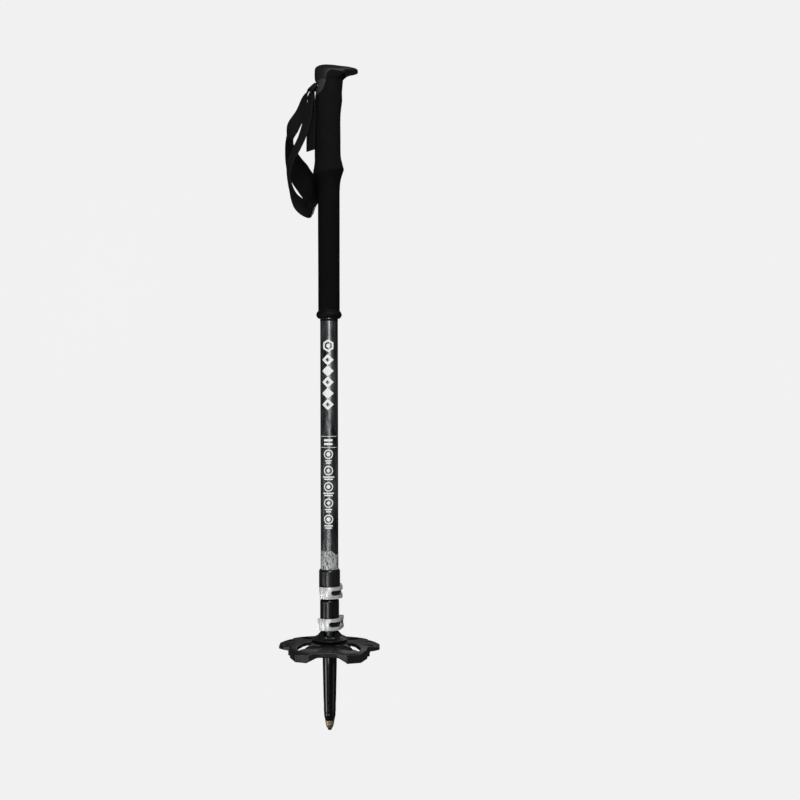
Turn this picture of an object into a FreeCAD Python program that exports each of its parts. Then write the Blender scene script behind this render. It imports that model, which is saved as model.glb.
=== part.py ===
"""Three-section telescoping ski pole with cam-lever locks, wrist strap and powder basket.

Frame: +Z runs up the shaft, the origin is the ground contact point of the tip, +X is the
side that the grip's beak points to, and +Y is the back, where the lock collars are slit.
The pole is modelled collapsed and locked. All sizes are millimetres.
"""
import FreeCAD, Part
import Sketcher
import math
import os

V = FreeCAD.Vector

SIZES = {
    # shaft sections
    "upper_tube_r": 9.0, "upper_tube_bore_r": 8.2, "upper_tube_top": 648.0,
    "middle_tube_r": 8.0, "middle_tube_bore_r": 7.2, "middle_tube_top": 600.0,
    "lower_tube_r": 7.0, "lower_tube_bore_r": 6.2, "lower_tube_low": 97.0, "lower_tube_top": 570.0,
    "plug_length": 14.0, "guide_head": 12.0, "guide_gap": 0.05,
    # locks
    "upper_lock_low": 134.5, "upper_lock_tall": 29.0, "upper_lock_r": 10.7, "upper_lock_turn": -3.0,
    "lower_lock_low": 102.5, "lower_lock_tall": 30.5, "lower_lock_r": 9.65, "lower_lock_turn": -15.0,
    "slit_half": 1.0, "relief_low": 13.0, "relief_gap": 0.6, "relief_bridge": 50.0, "tube_stop": 14.0,
    "lug_thick": 2.8, "lug_low": 0.3, "lug_tall": 11.4, "lug_reach": 3.2, "screw_out": 2.3,
    "saddle_thick": 0.6, "barrel_r": 2.5, "barrel_x": 8.05, "screw_r": 1.5,
    "screw_head_r": 2.75, "screw_head_len": 2.4, "hex_socket": 1.25,
    "eye_r": 3.3, "eye_offset": 0.3, "eye_gap": 0.05,
    "lever_gap": 0.5, "lever_thick": 2.0, "lever_low": 0.1, "lever_tall": 11.8,
    "lever_slot_half": 2.5, "lever_slot_x": 5.6, "lever_wrap_low": -116.0, "lever_wrap_high": 57.0,
    "bush_gap": 0.05, "bush_low": 0.3, "bush_tall": 12.6,
    # grip
    "grip_y": 12.2, "ridge_z": 566.5, "ridge_tilt": 12.5, "foam_low": 426.5, "foam_waist": 548.0,
    "foam_waist_r": 11.2, "foam_low_r": 10.9, "end_ring_low": 418.0, "end_ring_r": 13.1,
    "head_half_y": 14.0, "beak_half_y": 10.8, "beak_tip_half_y": 5.0,
    "wedge_top": 658.5, "mouth_low": 651.2, "mouth_top": 657.0, "mouth_half": 6.8,
    "anchor_x": -6.0, "anchor_z": 654.2, "anchor_r": 1.5, "anchor_half": 9.0,
    "root_half": 6.0, "root_eye_r": 2.5, "root_end_x": -10.6, "strap_hinge_x": -13.2,
    "strap_hinge_z": 654.0, "strap_knuckle_r": 2.2, "strap_tab_reach": 5.0,
    # strap
    "strap_tab_down": 41.35, "webbing_thick": 1.4, "pad_thick": 3.6,
    "label_thick": 0.5, "label_long": 9.0, "label_wide": 5.0,
    # basket
    "basket_hub_bore_r": 7.25, "hub_top": 100.0, "hub_low": 80.0, "disc_top": 92.0,
    "disc_r": 18.8, "disc_low": 76.6, "disc_inset": 0.055, "lobe_x": 50.9, "lobe_y": 41.5,
    "valley_y": 39.5, "scallop_z": 83.4, "side_z": 83.2, "side_cut": 20.0,
    "hub_skirt_r": 21.5, "skirt_z": 82.0, "basket_turn": 1.5,
    # tip
    "ferrule_r": 7.2, "ferrule_spigot_r": 6.15, "cap_seat_r": 6.1, "cap_seat_low": 19.5,
    "cap_seat_top": 27.0, "holder_top_z": 9.9, "holder_low_z": 2.2, "holder_r": 4.8,
    "holder_shank_r": 2.5, "carbide_r": 2.1, "carbide_shank_r": 1.4,
}

doc = FreeCAD.newDocument("ski_pole")
sheet = doc.addObject("Spreadsheet::Sheet", "sizes")
for row, (alias, value) in enumerate(SIZES.items(), start=1):
    sheet.set(f"A{row}", alias)
    sheet.set(f"B{row}", str(value))
    sheet.setAlias(f"B{row}", alias)
doc.recompute()

SUB_PARTS = []


def value_of(expression):
    """The number that an expression of the sheet's aliases gives."""
    result = sheet.evalExpression(str(expression))
    return float(getattr(result, "Value", result))


def bind(item, prop, expression):
    """Binds one property to the sheet, and sets it at once as well."""
    words = str(expression)
    for alias in sorted(SIZES, key=len, reverse=True):
        words = words.replace(alias, "@" + alias[::-1] + "@")
    for alias in SIZES:
        words = words.replace("@" + alias[::-1] + "@", "sizes." + alias)
    item.setExpression(prop, words)


def sub_part(item, label):
    """Marks an object as a finished sub-part under its own label."""
    item.Label = label
    SUB_PARTS.append(item)
    return item


def place(item, x="0", y="0", z="0", turn=None):
    """Binds an object's place, and turns it about Z by a sheet angle."""
    if turn is not None:
        item.Placement = FreeCAD.Placement(V(), FreeCAD.Rotation(V(0, 0, 1), value_of(turn)))
    for axis, expression in (("x", x), ("y", y), ("z", z)):
        if str(expression) != "0":
            bind(item, f"Placement.Base.{axis}", expression)
    return item


# ---------------------------------------------------------------- sketches and bodies

def sketch_on(body, role, label):
    """A sketch on one of the body's own origin planes."""
    sketch = body.newObject("Sketcher::SketchObject", label)
    plane = [feature for feature in body.Origin.OriginFeatures if feature.Role == role][0]
    sketch.AttachmentSupport = [(plane, "")]
    sketch.MapMode = "FlatFace"
    return sketch


def closed_outline(sketch, corners):
    """Closed straight-sided outline, every corner bound to a pair of expressions."""
    points = [(value_of(across), value_of(up)) for across, up in corners]
    count = len(points)
    for index, start in enumerate(points):
        end = points[(index + 1) % count]
        sketch.addGeometry(Part.LineSegment(V(*start, 0), V(*end, 0)), False)
    for index in range(count):
        sketch.addConstraint(Sketcher.Constraint("Coincident", index, 2, (index + 1) % count, 1))
    for index, (expressions, start) in enumerate(zip(corners, points)):
        pairs = zip(("DistanceX", "DistanceY"), (-2, -1), expressions, start)
        for kind, axis, expression, number in pairs:
            if abs(number) < 1e-6:
                sketch.addConstraint(Sketcher.Constraint("PointOnObject", index, 1, axis))
                continue
            made = sketch.addConstraint(Sketcher.Constraint(kind, -1, 1, index, 1, number))
            bind(sketch, f"Constraints[{made}]", expression)


def revolved(label, corners):
    """A body turned about Z from (radius, height) corners."""
    body = doc.addObject("PartDesign::Body", label)
    sketch = sketch_on(body, "XZ_Plane", label + "_outline")
    closed_outline(sketch, corners)
    turn = body.newObject("PartDesign::Revolution", label + "_turn")
    turn.Profile = sketch
    turn.ReferenceAxis = (sketch, ["V_Axis"])
    turn.Angle = 360
    return body


def padded(label, role, corners, length, symmetric=False):
    """A body padded from an outline on an origin plane."""
    body = doc.addObject("PartDesign::Body", label)
    sketch = sketch_on(body, role, label + "_outline")
    closed_outline(sketch, corners)
    pad = body.newObject("PartDesign::Pad", label + "_pad")
    pad.Profile = sketch
    pad.SideType = "Symmetric" if symmetric else "One side"
    bind(pad, "Length", length)
    return body


def ring(inner, outer, low, high):
    """Corners of a plain tube section."""
    return [(inner, low), (outer, low), (outer, high), (inner, high)]


# ---------------------------------------------------------------- primitives and booleans

def cylinder(label, radius, height, x="0", y="0", z="0", along=None, sweep=None):
    item = doc.addObject("Part::Cylinder", label)
    if along is not None:
        item.Placement = FreeCAD.Placement(V(), FreeCAD.Rotation(V(0, 0, 1), along))
    bind(item, "Radius", radius)
    bind(item, "Height", height)
    if sweep is not None:
        item.Angle = sweep
    return place(item, x, y, z)


def box(label, length, width, height, x="0", y="0", z="0"):
    item = doc.addObject("Part::Box", label)
    bind(item, "Length", length)
    bind(item, "Width", width)
    bind(item, "Height", height)
    return place(item, x, y, z)


def cut(label, base, tool):
    item = doc.addObject("Part::Cut", label)
    item.Base = base
    item.Tool = tool
    return item


def fuse(label, *pieces):
    item = doc.addObject("Part::MultiFuse", label)
    item.Shapes = list(pieces)
    item.Refine = True
    return item


def common(label, first, second):
    item = doc.addObject("Part::MultiCommon", label)
    item.Shapes = [first, second]
    return item


# ---------------------------------------------------------------- shaft sections

def shaft_tubes():
    sub_part(revolved("upper_tube", ring("upper_tube_bore_r", "upper_tube_r",
                                         "upper_lock_low + tube_stop", "upper_tube_top")), "upper_tube")
    sub_part(revolved("middle_tube", ring("middle_tube_bore_r", "middle_tube_r",
                                          "lower_lock_low + tube_stop", "middle_tube_top")),
             "middle_tube")
    sub_part(revolved("lower_tube", ring("lower_tube_bore_r", "lower_tube_r",
                                         "lower_tube_low", "lower_tube_top")), "lower_tube")
    plug = cylinder("upper_tube_plug", "upper_tube_bore_r", "plug_length",
                    z="upper_tube_top - plug_length")
    sub_part(plug, "upper_tube_plug")


def tube_guide(label, tube_top, head_r, spigot_r):
    """Turning guide plug that runs in the next tube up and snaps into this tube's end."""
    corners = [
        ("0", f"{tube_top} - plug_length"), (spigot_r, f"{tube_top} - plug_length"),
        (spigot_r, f"{tube_top} + guide_gap"), (head_r, f"{tube_top} + guide_gap"),
        (head_r, f"{tube_top} + guide_head - 1"), (f"{head_r} - 1", f"{tube_top} + guide_head"),
        ("0", f"{tube_top} + guide_head"),
    ]
    sub_part(revolved(label, corners), label)


# ---------------------------------------------------------------- cam-lever locks

def lock_collar(name, low, tall, outer_r, inner_r, turn):
    """Slit collar with two lugs at the back, glued on the tube above its relief cut."""
    ys = f"{outer_r} + screw_out"
    shell = revolved(name + "_collar_shell", [
        (inner_r, "0"), (f"{outer_r} - 0.4", "0"), (outer_r, "0.4"), (outer_r, f"{tall} - 1.6"),
        (f"{outer_r} - 0.4", f"{tall} - 0.6"), (f"{outer_r} - 1.0", tall), (inner_r, tall)])
    lug_y = f"{inner_r} + 0.8"
    lug_wide = f"{outer_r} - {inner_r} + screw_out + lug_reach - 0.8"
    lugs = [box(f"{name}_collar_lug_{side}", "lug_thick", lug_wide, "lug_tall", x, lug_y, "lug_low")
            for side, x in (("a", "slit_half"), ("b", "0 - slit_half - lug_thick"))]
    solid = fuse(name + "_collar_solid", shell, *lugs)
    slit = box(name + "_collar_slit", "2 * slit_half", f"{outer_r} + 12", "relief_low + relief_gap + 1",
               "0 - slit_half", "0", "-1")
    relief = cylinder(name + "_collar_relief", f"{outer_r} + 3", "relief_gap", z="relief_low",
                      along=value_of("relief_bridge / 2 - 90"), sweep=value_of("360 - relief_bridge"))
    hole = cylinder(name + "_collar_hole", "screw_r + 0.1", "30")
    hole.Placement = FreeCAD.Placement(V(-15, 0, 0), FreeCAD.Rotation(V(0, 1, 0), 90))
    bind(hole, "Placement.Base.y", ys)
    bind(hole, "Placement.Base.z", "lug_low + lug_tall / 2")
    tools = fuse(name + "_collar_tools", slit, relief, hole)
    collar = cut(name + "_collar", solid, tools)
    sub_part(place(collar, z=low, turn=turn), name + "_collar")


def lock_bush(name, low, inner_r, outer_r, turn):
    """Split friction insert between the collar and the sliding tube."""
    shell = revolved(name + "_bush_shell", ring(inner_r, outer_r, "bush_low", "bush_low + bush_tall"))
    slit = box(name + "_bush_slit", "2 * slit_half", f"{outer_r} + 5", "30", "0 - slit_half", "0", "-5")
    sub_part(place(cut(name + "_bush", shell, slit), z=low, turn=turn), name + "_bush")


def lock_hardware(name, low, outer_r, turn):
    """Tension screw, barrel nut and saddle plate of one lock."""
    ys = f"{outer_r} + screw_out"
    mid = "lug_low + lug_tall / 2"
    side = FreeCAD.Placement(V(), FreeCAD.Rotation(V(0, 1, 0), 90))

    def crossways(label, radius, height, x):
        item = cylinder(label, radius, height)
        item.Placement = side
        return place(item, x, ys, mid)

    head = crossways(name + "_screw_head", "screw_head_r", "screw_head_len",
                     "0 - slit_half - lug_thick - screw_head_len")
    shank = crossways(name + "_screw_shank", "screw_r", "slit_half + lug_thick + barrel_x + barrel_r - 0.3",
                      "0 - slit_half - lug_thick")
    socket = doc.addObject("Part::Prism", name + "_screw_socket")
    socket.Polygon = 6
    bind(socket, "Circumradius", "hex_socket")
    socket.Height = 1.5
    socket.Placement = side
    place(socket, "0 - slit_half - lug_thick - screw_head_len", ys, mid)
    screw = cut(name + "_screw", fuse(name + "_screw_solid", head, shank), socket)
    sub_part(place(screw, z=low, turn=turn), name + "_screw")

    pin = cylinder(name + "_barrel_pin", "barrel_r", "lug_tall", "barrel_x", ys, "lug_low")
    thread = crossways(name + "_barrel_thread", "screw_r", "slit_half + barrel_x + barrel_r", "slit_half")
    sub_part(place(cut(name + "_barrel", pin, thread), z=low, turn=turn), name + "_barrel")

    plate = box(name + "_saddle_plate", "saddle_thick", "2 * lug_reach - 0.4", "lug_tall - 0.6",
                "slit_half + lug_thick", f"{ys} - lug_reach + 0.4", "lug_low + 0.3")
    hole = crossways(name + "_saddle_hole", "screw_r + 0.1", "6", "slit_half")
    sub_part(place(cut(name + "_saddle", plate, hole), z=low, turn=turn), name + "_saddle")


def lock_lever(name, low, outer_r, turn, flare, flange):
    """Forked cam lever: two eyes on the barrel, a band round the front and a bent thumb end."""
    ys = f"{outer_r} + screw_out"
    r_in = f"({outer_r} + lever_gap)"
    r_out = f"({outer_r} + lever_gap + lever_thick)"
    wrap = value_of("lever_wrap_high - lever_wrap_low")
    band_outer = cylinder(name + "_band_outer", r_out, "lever_tall", along=value_of("lever_wrap_low"),
                          sweep=wrap)
    eye = cylinder(name + "_eye", "eye_r", "lever_tall", "barrel_x - eye_offset", ys, "0")
    gusset = padded(name + "_gusset", "XY_Plane", [
        (f"{r_in} * cos(15)", f"{r_in} * sin(15)"), (f"{r_out} * cos(15)", f"{r_out} * sin(15)"),
        ("barrel_x - eye_offset + eye_r", ys), ("barrel_x", ys),
        (f"{r_in} * cos(50)", f"{r_in} * sin(50)")], "lever_tall")
    foot_x = "cos(lever_wrap_low)"
    foot_y = "sin(lever_wrap_low)"
    thumb = padded(name + "_thumb", "XY_Plane", [
        (f"{r_in} * {foot_x}", f"{r_in} * {foot_y}"), (f"{r_out} * {foot_x}", f"{r_out} * {foot_y}"),
        (f"{r_out} * {foot_x} - {flange} * cos({flare})", f"{r_out} * {foot_y} + {flange} * sin({flare})"),
        (f"{r_in} * {foot_x} - {flange} * cos({flare})", f"{r_in} * {foot_y} + {flange} * sin({flare})")],
        "lever_tall")
    solid = fuse(name + "_solid", band_outer, eye, gusset, thumb)
    inside = cylinder(name + "_inside", r_in, "30", z="-5")
    bore = cylinder(name + "_bore", "barrel_r + eye_gap", "30", "barrel_x", ys, "-5")
    slot_low = "lever_tall / 2 - lever_slot_half"
    slot_side = box(name + "_slot_side", "20", "40", "2 * lever_slot_half", "lever_slot_x", "-20", slot_low)
    slot_eye = box(name + "_slot_eye", "20", "20", "2 * lever_slot_half", "3.5", f"{outer_r} - 2",
                   slot_low)
    slot_end = cylinder(name + "_slot_end", "lever_slot_half", "20")
    slot_end.Placement = FreeCAD.Placement(V(), FreeCAD.Rotation(V(1, 0, 0), 90))
    place(slot_end, "lever_slot_x", "0", "lever_tall / 2")
    tools = fuse(name + "_tools", inside, bore, slot_side, slot_eye, slot_end)
    lever = cut(name, solid, tools)
    sub_part(place(lever, z=f"{low} + lever_low", turn=turn), name)


def locks():
    lock_collar("upper_lock", "upper_lock_low", "upper_lock_tall", "upper_lock_r", "upper_tube_r",
                "upper_lock_turn")
    lock_collar("lower_lock", "lower_lock_low", "lower_lock_tall", "lower_lock_r", "middle_tube_r",
                "lower_lock_turn")
    lock_bush("upper_lock", "upper_lock_low", "middle_tube_r + bush_gap", "upper_tube_r",
              "upper_lock_turn")
    lock_bush("lower_lock", "lower_lock_low", "lower_tube_r + bush_gap", "middle_tube_r",
              "lower_lock_turn")
    lock_hardware("upper_lock", "upper_lock_low", "upper_lock_r", "upper_lock_turn")
    lock_hardware("lower_lock", "lower_lock_low", "lower_lock_r", "lower_lock_turn")
    lock_lever("upper_lever", "upper_lock_low", "upper_lock_r", "upper_lock_turn", "20", "4.2")
    lock_lever("lower_lever", "lower_lock_low", "lower_lock_r", "lower_lock_turn", "12", "4.6")


# ---------------------------------------------------------------- grip

# height, front and back of the grip's oval sections, from the ridge to the neck
GRIP_SECTIONS = [
    (576.0, 13.8, -14.4), (584.0, 12.3, -14.3), (604.0, 12.1, -14.2), (622.0, 12.1, -14.2),
    (631.0, 12.8, -14.1), (640.0, 13.9, -13.7), (648.0, 13.7, -13.0), (656.0, 14.4, -12.4),
    (662.0, 15.2, -12.7), (667.5, 16.4, -13.0),
]


def oval(label, centre_x, z, half_x, half_y, tilt=0.0):
    item = doc.addObject("Part::Ellipse", label)
    item.MajorRadius = half_x
    item.MinorRadius = half_y
    item.Placement = FreeCAD.Placement(V(centre_x, 0, z), FreeCAD.Rotation(V(0, 1, 0), -tilt))
    return item


def ridge_oval(label, grow=0.0):
    item = oval(label, -0.55, value_of("ridge_z"), 15.9 + grow, 14.6 + grow, value_of("ridge_tilt"))
    bind(item, "Placement.Base.z", "ridge_z")
    return item


def lofted(label, sections, ruled=False):
    item = doc.addObject("Part::Loft", label)
    item.Sections = sections
    item.Solid = True
    item.Ruled = ruled
    return item


def grip_form():
    """The whole outer form of the upper grip: oval neck, domed head and beak."""
    ovals = [ridge_oval("grip_oval_ridge")]
    for index, (z, front, back) in enumerate(GRIP_SECTIONS):
        item = oval(f"grip_oval_{index}", (front + back) / 2, z, (front - back) / 2, value_of("grip_y"))
        bind(item, "MinorRadius", "grip_y")
        ovals.append(item)
    neck = lofted("grip_neck", ovals)
    side = padded("grip_head_side", "XZ_Plane", [
        ("-12.4", "657"), ("-14", "660.5"), ("-14", "669"), ("-12.8", "671.8"),
        ("-10.4", "673.8"), ("-6.5", "675.1"), ("-1.5", "675.4"), ("10", "674.2"), ("19", "673"),
        ("25.9", "671.5"), ("29.4", "670.3"), ("30.3", "669.3"), ("28.2", "667.8"), ("24.7", "667"),
        ("20", "666.4"), ("16.5", "664"), ("10", "657")], "40", symmetric=True)
    plan = padded("grip_head_plan", "XY_Plane", [
        ("-14", "-6.5"), ("-11.5", "-10.5"), ("-7", "-13.2"), ("-1", "0 - head_half_y"),
        ("8", "-13"), ("18", "0 - beak_half_y"), ("26", "-8.8"), ("29.6", "0 - beak_tip_half_y"),
        ("30.3", "-1.5"), ("30.3", "1.5"), ("29.6", "beak_tip_half_y"), ("26", "8.8"),
        ("18", "beak_half_y"), ("8", "13"), ("-1", "head_half_y"), ("-7", "13.2"),
        ("-11.5", "10.5"), ("-14", "6.5")], "700")
    head = common("grip_head_block", side, plan)
    return fuse("grip_form", neck, head)


def grip():
    """Foam sleeve, hard head and strap wedge, split from one outer form."""
    form = grip_form()
    head_zone = padded("grip_head_zone", "XZ_Plane", [
        ("-30", "642"), ("-13.3", "642.6"), ("-5.9", "647.8"), ("-2.5", "656.2"), ("-1.3", "662.2"),
        ("0.6", "665.6"), ("4.3", "667.6"), ("8.9", "667"), ("17", "665.2"), ("40", "660"),
        ("40", "690"), ("-30", "690")], "60", symmetric=True)
    wedge_zone = box("grip_wedge_zone", "60", "60", "60", "-40", "-30", "wedge_top - 60")
    bore = cylinder("grip_bore", "upper_tube_r", "upper_tube_top - 400", z="400")
    mouth = box("grip_mouth", "18.5", "2 * mouth_half", "mouth_top - mouth_low", "-21", "0 - mouth_half",
                "mouth_low")
    pin_hole = cylinder("grip_pin_hole", "anchor_r", "2 * anchor_half")
    pin_hole.Placement = FreeCAD.Placement(V(), FreeCAD.Rotation(V(1, 0, 0), 90))
    place(pin_hole, "anchor_x", "anchor_half", "anchor_z")
    hollows = fuse("grip_hollows", bore, mouth, pin_hole)

    head_all = cut("grip_head_all", common("grip_head_common", form, head_zone), hollows)
    foam = cut("grip_foam", cut("grip_foam_solid", form, head_zone), hollows)
    sub_part(foam, "grip_foam")
    sub_part(cut("grip_head", head_all, wedge_zone), "grip_head")
    sub_part(common("strap_wedge", head_all, wedge_zone), "strap_wedge")


def grip_extension():
    """Long lower foam sleeve, flared up to the ridge, and its end ring."""
    waist = oval("extension_waist", 0, 0, 11.2, 11.2)
    bind(waist, "MajorRadius", "foam_waist_r")
    bind(waist, "MinorRadius", "foam_waist_r")
    bind(waist, "Placement.Base.z", "foam_waist")
    flare = lofted("extension_flare", [waist, oval("extension_mid", -0.4, 556.5, 12.4, 12.0, 6.0),
                                       ridge_oval("extension_ridge")])
    sleeve = revolved("extension_sleeve", [
        ("0", "foam_low"), ("foam_low_r", "foam_low"), ("foam_waist_r", "foam_waist"),
        ("0", "foam_waist")])
    bore = cylinder("extension_bore", "upper_tube_r", "400", z="300")
    solid = fuse("extension_solid", sleeve, flare)
    sub_part(cut("grip_extension", solid, bore), "grip_extension")
    end_ring = revolved("grip_end_ring", [
        ("upper_tube_r", "end_ring_low"), ("11", "end_ring_low"), ("12.2", "end_ring_low + 1.2"),
        ("end_ring_r", "end_ring_low + 3.2"), ("end_ring_r", "end_ring_low + 4.6"),
        ("12.2", "end_ring_low + 6.6"), ("11.2", "foam_low"), ("upper_tube_r", "foam_low")])
    sub_part(end_ring, "grip_end_ring")


def strap_anchor():
    """Cross pin in the grip, and the sewn webbing root that is looped round it."""
    across = FreeCAD.Placement(V(), FreeCAD.Rotation(V(1, 0, 0), 90))
    pin = cylinder("strap_anchor_pin", "anchor_r", "2 * anchor_half")
    pin.Placement = across
    sub_part(place(pin, "anchor_x", "anchor_half", "anchor_z"), "strap_anchor_pin")
    eye = cylinder("strap_root_eye", "root_eye_r", "2 * root_half")
    eye.Placement = across
    place(eye, "anchor_x", "root_half", "anchor_z")
    tongue = box("strap_root_tongue", "anchor_x - root_end_x", "2 * root_half", "4.2", "root_end_x",
                 "0 - root_half", "anchor_z - 2.1")
    hole = cylinder("strap_root_hole", "anchor_r", "40")
    hole.Placement = across
    place(hole, "anchor_x", "20", "anchor_z")
    sub_part(cut("strap_root", fuse("strap_root_solid", eye, tongue), hole), "strap_root")


# ---------------------------------------------------------------- wrist strap

# centre (x, y, z), direction of the width (x, y, z), and width, at each station of the loop:
# out of the grip at the rear side, down through the pad, round the low fold and up the front
LOOP = [
    ((-17.94, 0.0, 651.82), (0.00, -1.00, 0.00), 12.0), ((-20.2, 0.2, 649.7), (0.05, -1.00, -0.05), 12.5),
    ((-24.6, 4.0, 642.0), (0.44, -0.82, -0.36), 14.0), ((-29.0, 9.0, 629.5), (0.64, -0.67, -0.38), 16.6),
    ((-37.3, 13.4, 616.5), (0.76, -0.61, -0.22), 18.0), ((-41.2, 17.8, 605.5), (0.46, -0.88, -0.06), 17.5),
    ((-41.2, 22.0, 596.0), (0.48, -0.87, 0.12), 20.0), ((-37.8, 27.0, 583.0), (0.66, -0.62, 0.35), 22.5),
    ((-32.0, 30.0, 571.0), (0.79, -0.12, 0.58), 23.5), ((-23.5, 30.0, 558.0), (0.80, 0.00, 0.59), 23.5),
    ((-17.0, 25.5, 546.5), (0.78, -0.10, 0.61), 21.0), ((-15.3, 18.5, 537.5), (0.62, -0.25, 0.74), 17.0),
    ((-16.4, 8.5, 530.0), (0.36, -0.36, 0.86), 15.0), ((-20.5, -3.0, 527.4), (0.18, -0.24, 0.95), 15.0),
    ((-27.0, -13.5, 531.0), (0.28, -0.62, 0.73), 15.0), ((-34.2, -21.5, 541.5), (0.25, -0.93, 0.25), 15.0),
    ((-38.0, -26.0, 556.5), (0.25, -0.96, 0.00), 15.0), ((-36.5, -27.0, 571.0), (0.48, -0.87, -0.12), 15.0),
    ((-30.8, -25.2, 584.0), (0.56, -0.80, -0.19), 15.0), ((-24.9, -21.2, 598.5), (0.56, -0.81, -0.19), 15.0),
    ((-21.2, -15.6, 614.0), (0.55, -0.82, -0.19), 15.0), ((-19.5, -9.9, 629.5), (0.52, -0.84, -0.12), 15.0),
    ((-18.5, -4.9, 639.0), (0.42, -0.91, -0.05), 14.0), ((-19.2, -1.2, 646.0), (0.28, -0.96, 0.00), 12.5),
    ((-16.95, 0.0, 650.70), (0.00, -1.00, 0.00), 12.0),
]
PAD_START, PAD_END, LABEL_STATION = 5, 11, 12
TAIL = [
    ((-15.96, 0.0, 649.57), (0.00, -1.00, 0.00), 12.0), ((-16.1, -0.3, 645.8), (0.30, -0.95, 0.00), 13.0),
    ((-16.5, -0.3, 639.0), (0.42, -0.91, 0.00), 14.0), ((-17.0, -1.4, 626.0), (0.54, -0.84, 0.00), 15.0),
    ((-18.0, -1.6, 607.0), (0.60, -0.80, 0.00), 15.0), ((-18.4, -1.6, 588.5), (0.58, -0.80, -0.12), 15.0),
]
STEPS = 4


def smooth_run(stations, start, end=None):
    """Frames (centre, along, across, width) of a smooth curve, with its end directions given."""
    rows = [[*centre, *across, width] for centre, across, width in stations]
    first = [2 * a - b for a, b in zip(rows[0], rows[1])]
    last = [2 * a - b for a, b in zip(rows[-1], rows[-2])]
    rows = [first, *rows, last]
    run = []
    for index in range(1, len(rows) - 2):
        for step in range(STEPS):
            t = step / STEPS
            run.append([0.5 * (2 * b + (c - a) * t + (2 * a - 5 * b + 4 * c - d) * t * t
                               + (3 * b - a - 3 * c + d) * t ** 3)
                        for a, b, c, d in zip(*rows[index - 1:index + 3])])
    run.append(rows[-2])
    frames = []
    for index, row in enumerate(run):
        before = V(*run[max(index - 1, 0)][:3])
        after = V(*run[min(index + 1, len(run) - 1)][:3])
        along = (after - before).normalize()
        if index == 0:
            along = start
        if index == len(run) - 1 and end is not None:
            along = end
        across = V(*row[3:6])
        across = (across - along * across.dot(along)).normalize()
        frames.append((V(*row[:3]), along, across, row[6]))
    return frames


def band_section(frame, thick):
    """Rectangle square to the band's run, with its long side along the band's width."""
    centre, along, across, width = frame
    side = across * (width / 2)
    face = along.cross(across) * (thick / 2)
    corners = [centre - side - face, centre + side - face, centre + side + face, centre - side + face]
    return Part.makePolygon(corners + corners[:1])


def band(label, frames, thick):
    """Flat band lofted through its frames."""
    item = doc.addObject("Part::Feature", label)
    item.Shape = Part.makeLoft([band_section(frame, thick) for frame in frames], True, True)
    item.Placement = FreeCAD.Placement()
    return sub_part(item, label)


def strap_tab(down):
    """Sewn end where the three layers meet, round about the line that the strap swings on."""
    knuckle = cylinder("strap_tab_knuckle", "strap_knuckle_r", "2 * root_half")
    knuckle.Placement = FreeCAD.Placement(V(), FreeCAD.Rotation(V(1, 0, 0), 90))
    place(knuckle, "strap_hinge_x", "root_half", "strap_hinge_z")
    layers = doc.addObject("Part::Box", "strap_tab_layers")
    bind(layers, "Length", "strap_tab_reach")
    bind(layers, "Width", "2 * root_half")
    bind(layers, "Height", "2 * strap_knuckle_r")
    turn = FreeCAD.Rotation(V(0, 1, 0), 180 - down)
    corner = turn.multVec(V(0, -value_of("root_half"), -value_of("strap_knuckle_r")))
    hinge = V(value_of("strap_hinge_x"), 0, value_of("strap_hinge_z"))
    layers.Placement = FreeCAD.Placement(hinge + corner, turn)
    sub_part(fuse("strap_tab", knuckle, layers), "strap_tab")


def strap_label(frame):
    """Small woven tag sewn flat on the outside of the low fold."""
    centre, along, across, width = frame
    face = across.cross(along)
    thick = value_of("label_thick")
    middle = centre + face * (value_of("webbing_thick") / 2 + thick / 2 + 0.25)
    tag = (middle, along, across, value_of("label_long"))
    section = band_section(tag, thick)
    item = doc.addObject("Part::Feature", "strap_label")
    item.Shape = Part.Face(section).extrude(along * value_of("label_wide"))
    sub_part(item, "strap_label")


def strap():
    """Loop of webbing with its padded part, the hanging tail, the sewn tab and the tag."""
    thick = value_of("webbing_thick")
    down = value_of("strap_tab_down")
    outward = V(-math.cos(math.radians(down)), 0, -math.sin(math.radians(down)))
    frames = smooth_run(LOOP, outward, outward * -1)
    strap_tab(down)
    band("strap_webbing_rear", frames[:PAD_START * STEPS + 1], thick)
    band("strap_pad", frames[PAD_START * STEPS:PAD_END * STEPS + 1], value_of("pad_thick"))
    band("strap_webbing_front", frames[PAD_END * STEPS:], thick)
    band("strap_tail", smooth_run(TAIL, outward), thick)
    strap_label(frames[LABEL_STATION * STEPS])


# ---------------------------------------------------------------- basket

def basket_hub():
    hub = revolved("basket_hub", [
        ("basket_hub_bore_r", "hub_low"), ("9", "hub_low"), ("9", "disc_top"), ("disc_r", "disc_top"),
        ("disc_r", "disc_top + 0.7"), ("12.4", "disc_top + 3"), ("9.7", "hub_top - 1.4"),
        ("9.3", "hub_top"), ("basket_hub_bore_r", "hub_top")])
    sub_part(place(hub, turn="basket_turn"), "basket_hub")


# one quarter of the disc's plan, from its side lobe round to the valley at the front
DISC_CORNERS = [
    ("lobe_x", "7.5"), ("45.5", "13.5"), ("38.5", "17"), ("38.6", "25"), ("32.6", "38.2"),
    ("19", "lobe_y"), ("9", "valley_y"),
]
# one quarter's leaf-shaped opening
LEAF = [("18.5", "5.5"), ("25.8", "9.8"), ("31.5", "22"), ("31", "32"), ("24", "27.5"), ("18.3", "14.5")]


def quarters(corners):
    """The same outline in all four quarters, as a list of outlines."""
    return [[(x if right else f"0 - ({x})", y if back else f"0 - ({y})") for x, y in corners]
            for right, back in ((True, True), (False, True), (False, False), (True, False))]


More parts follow.
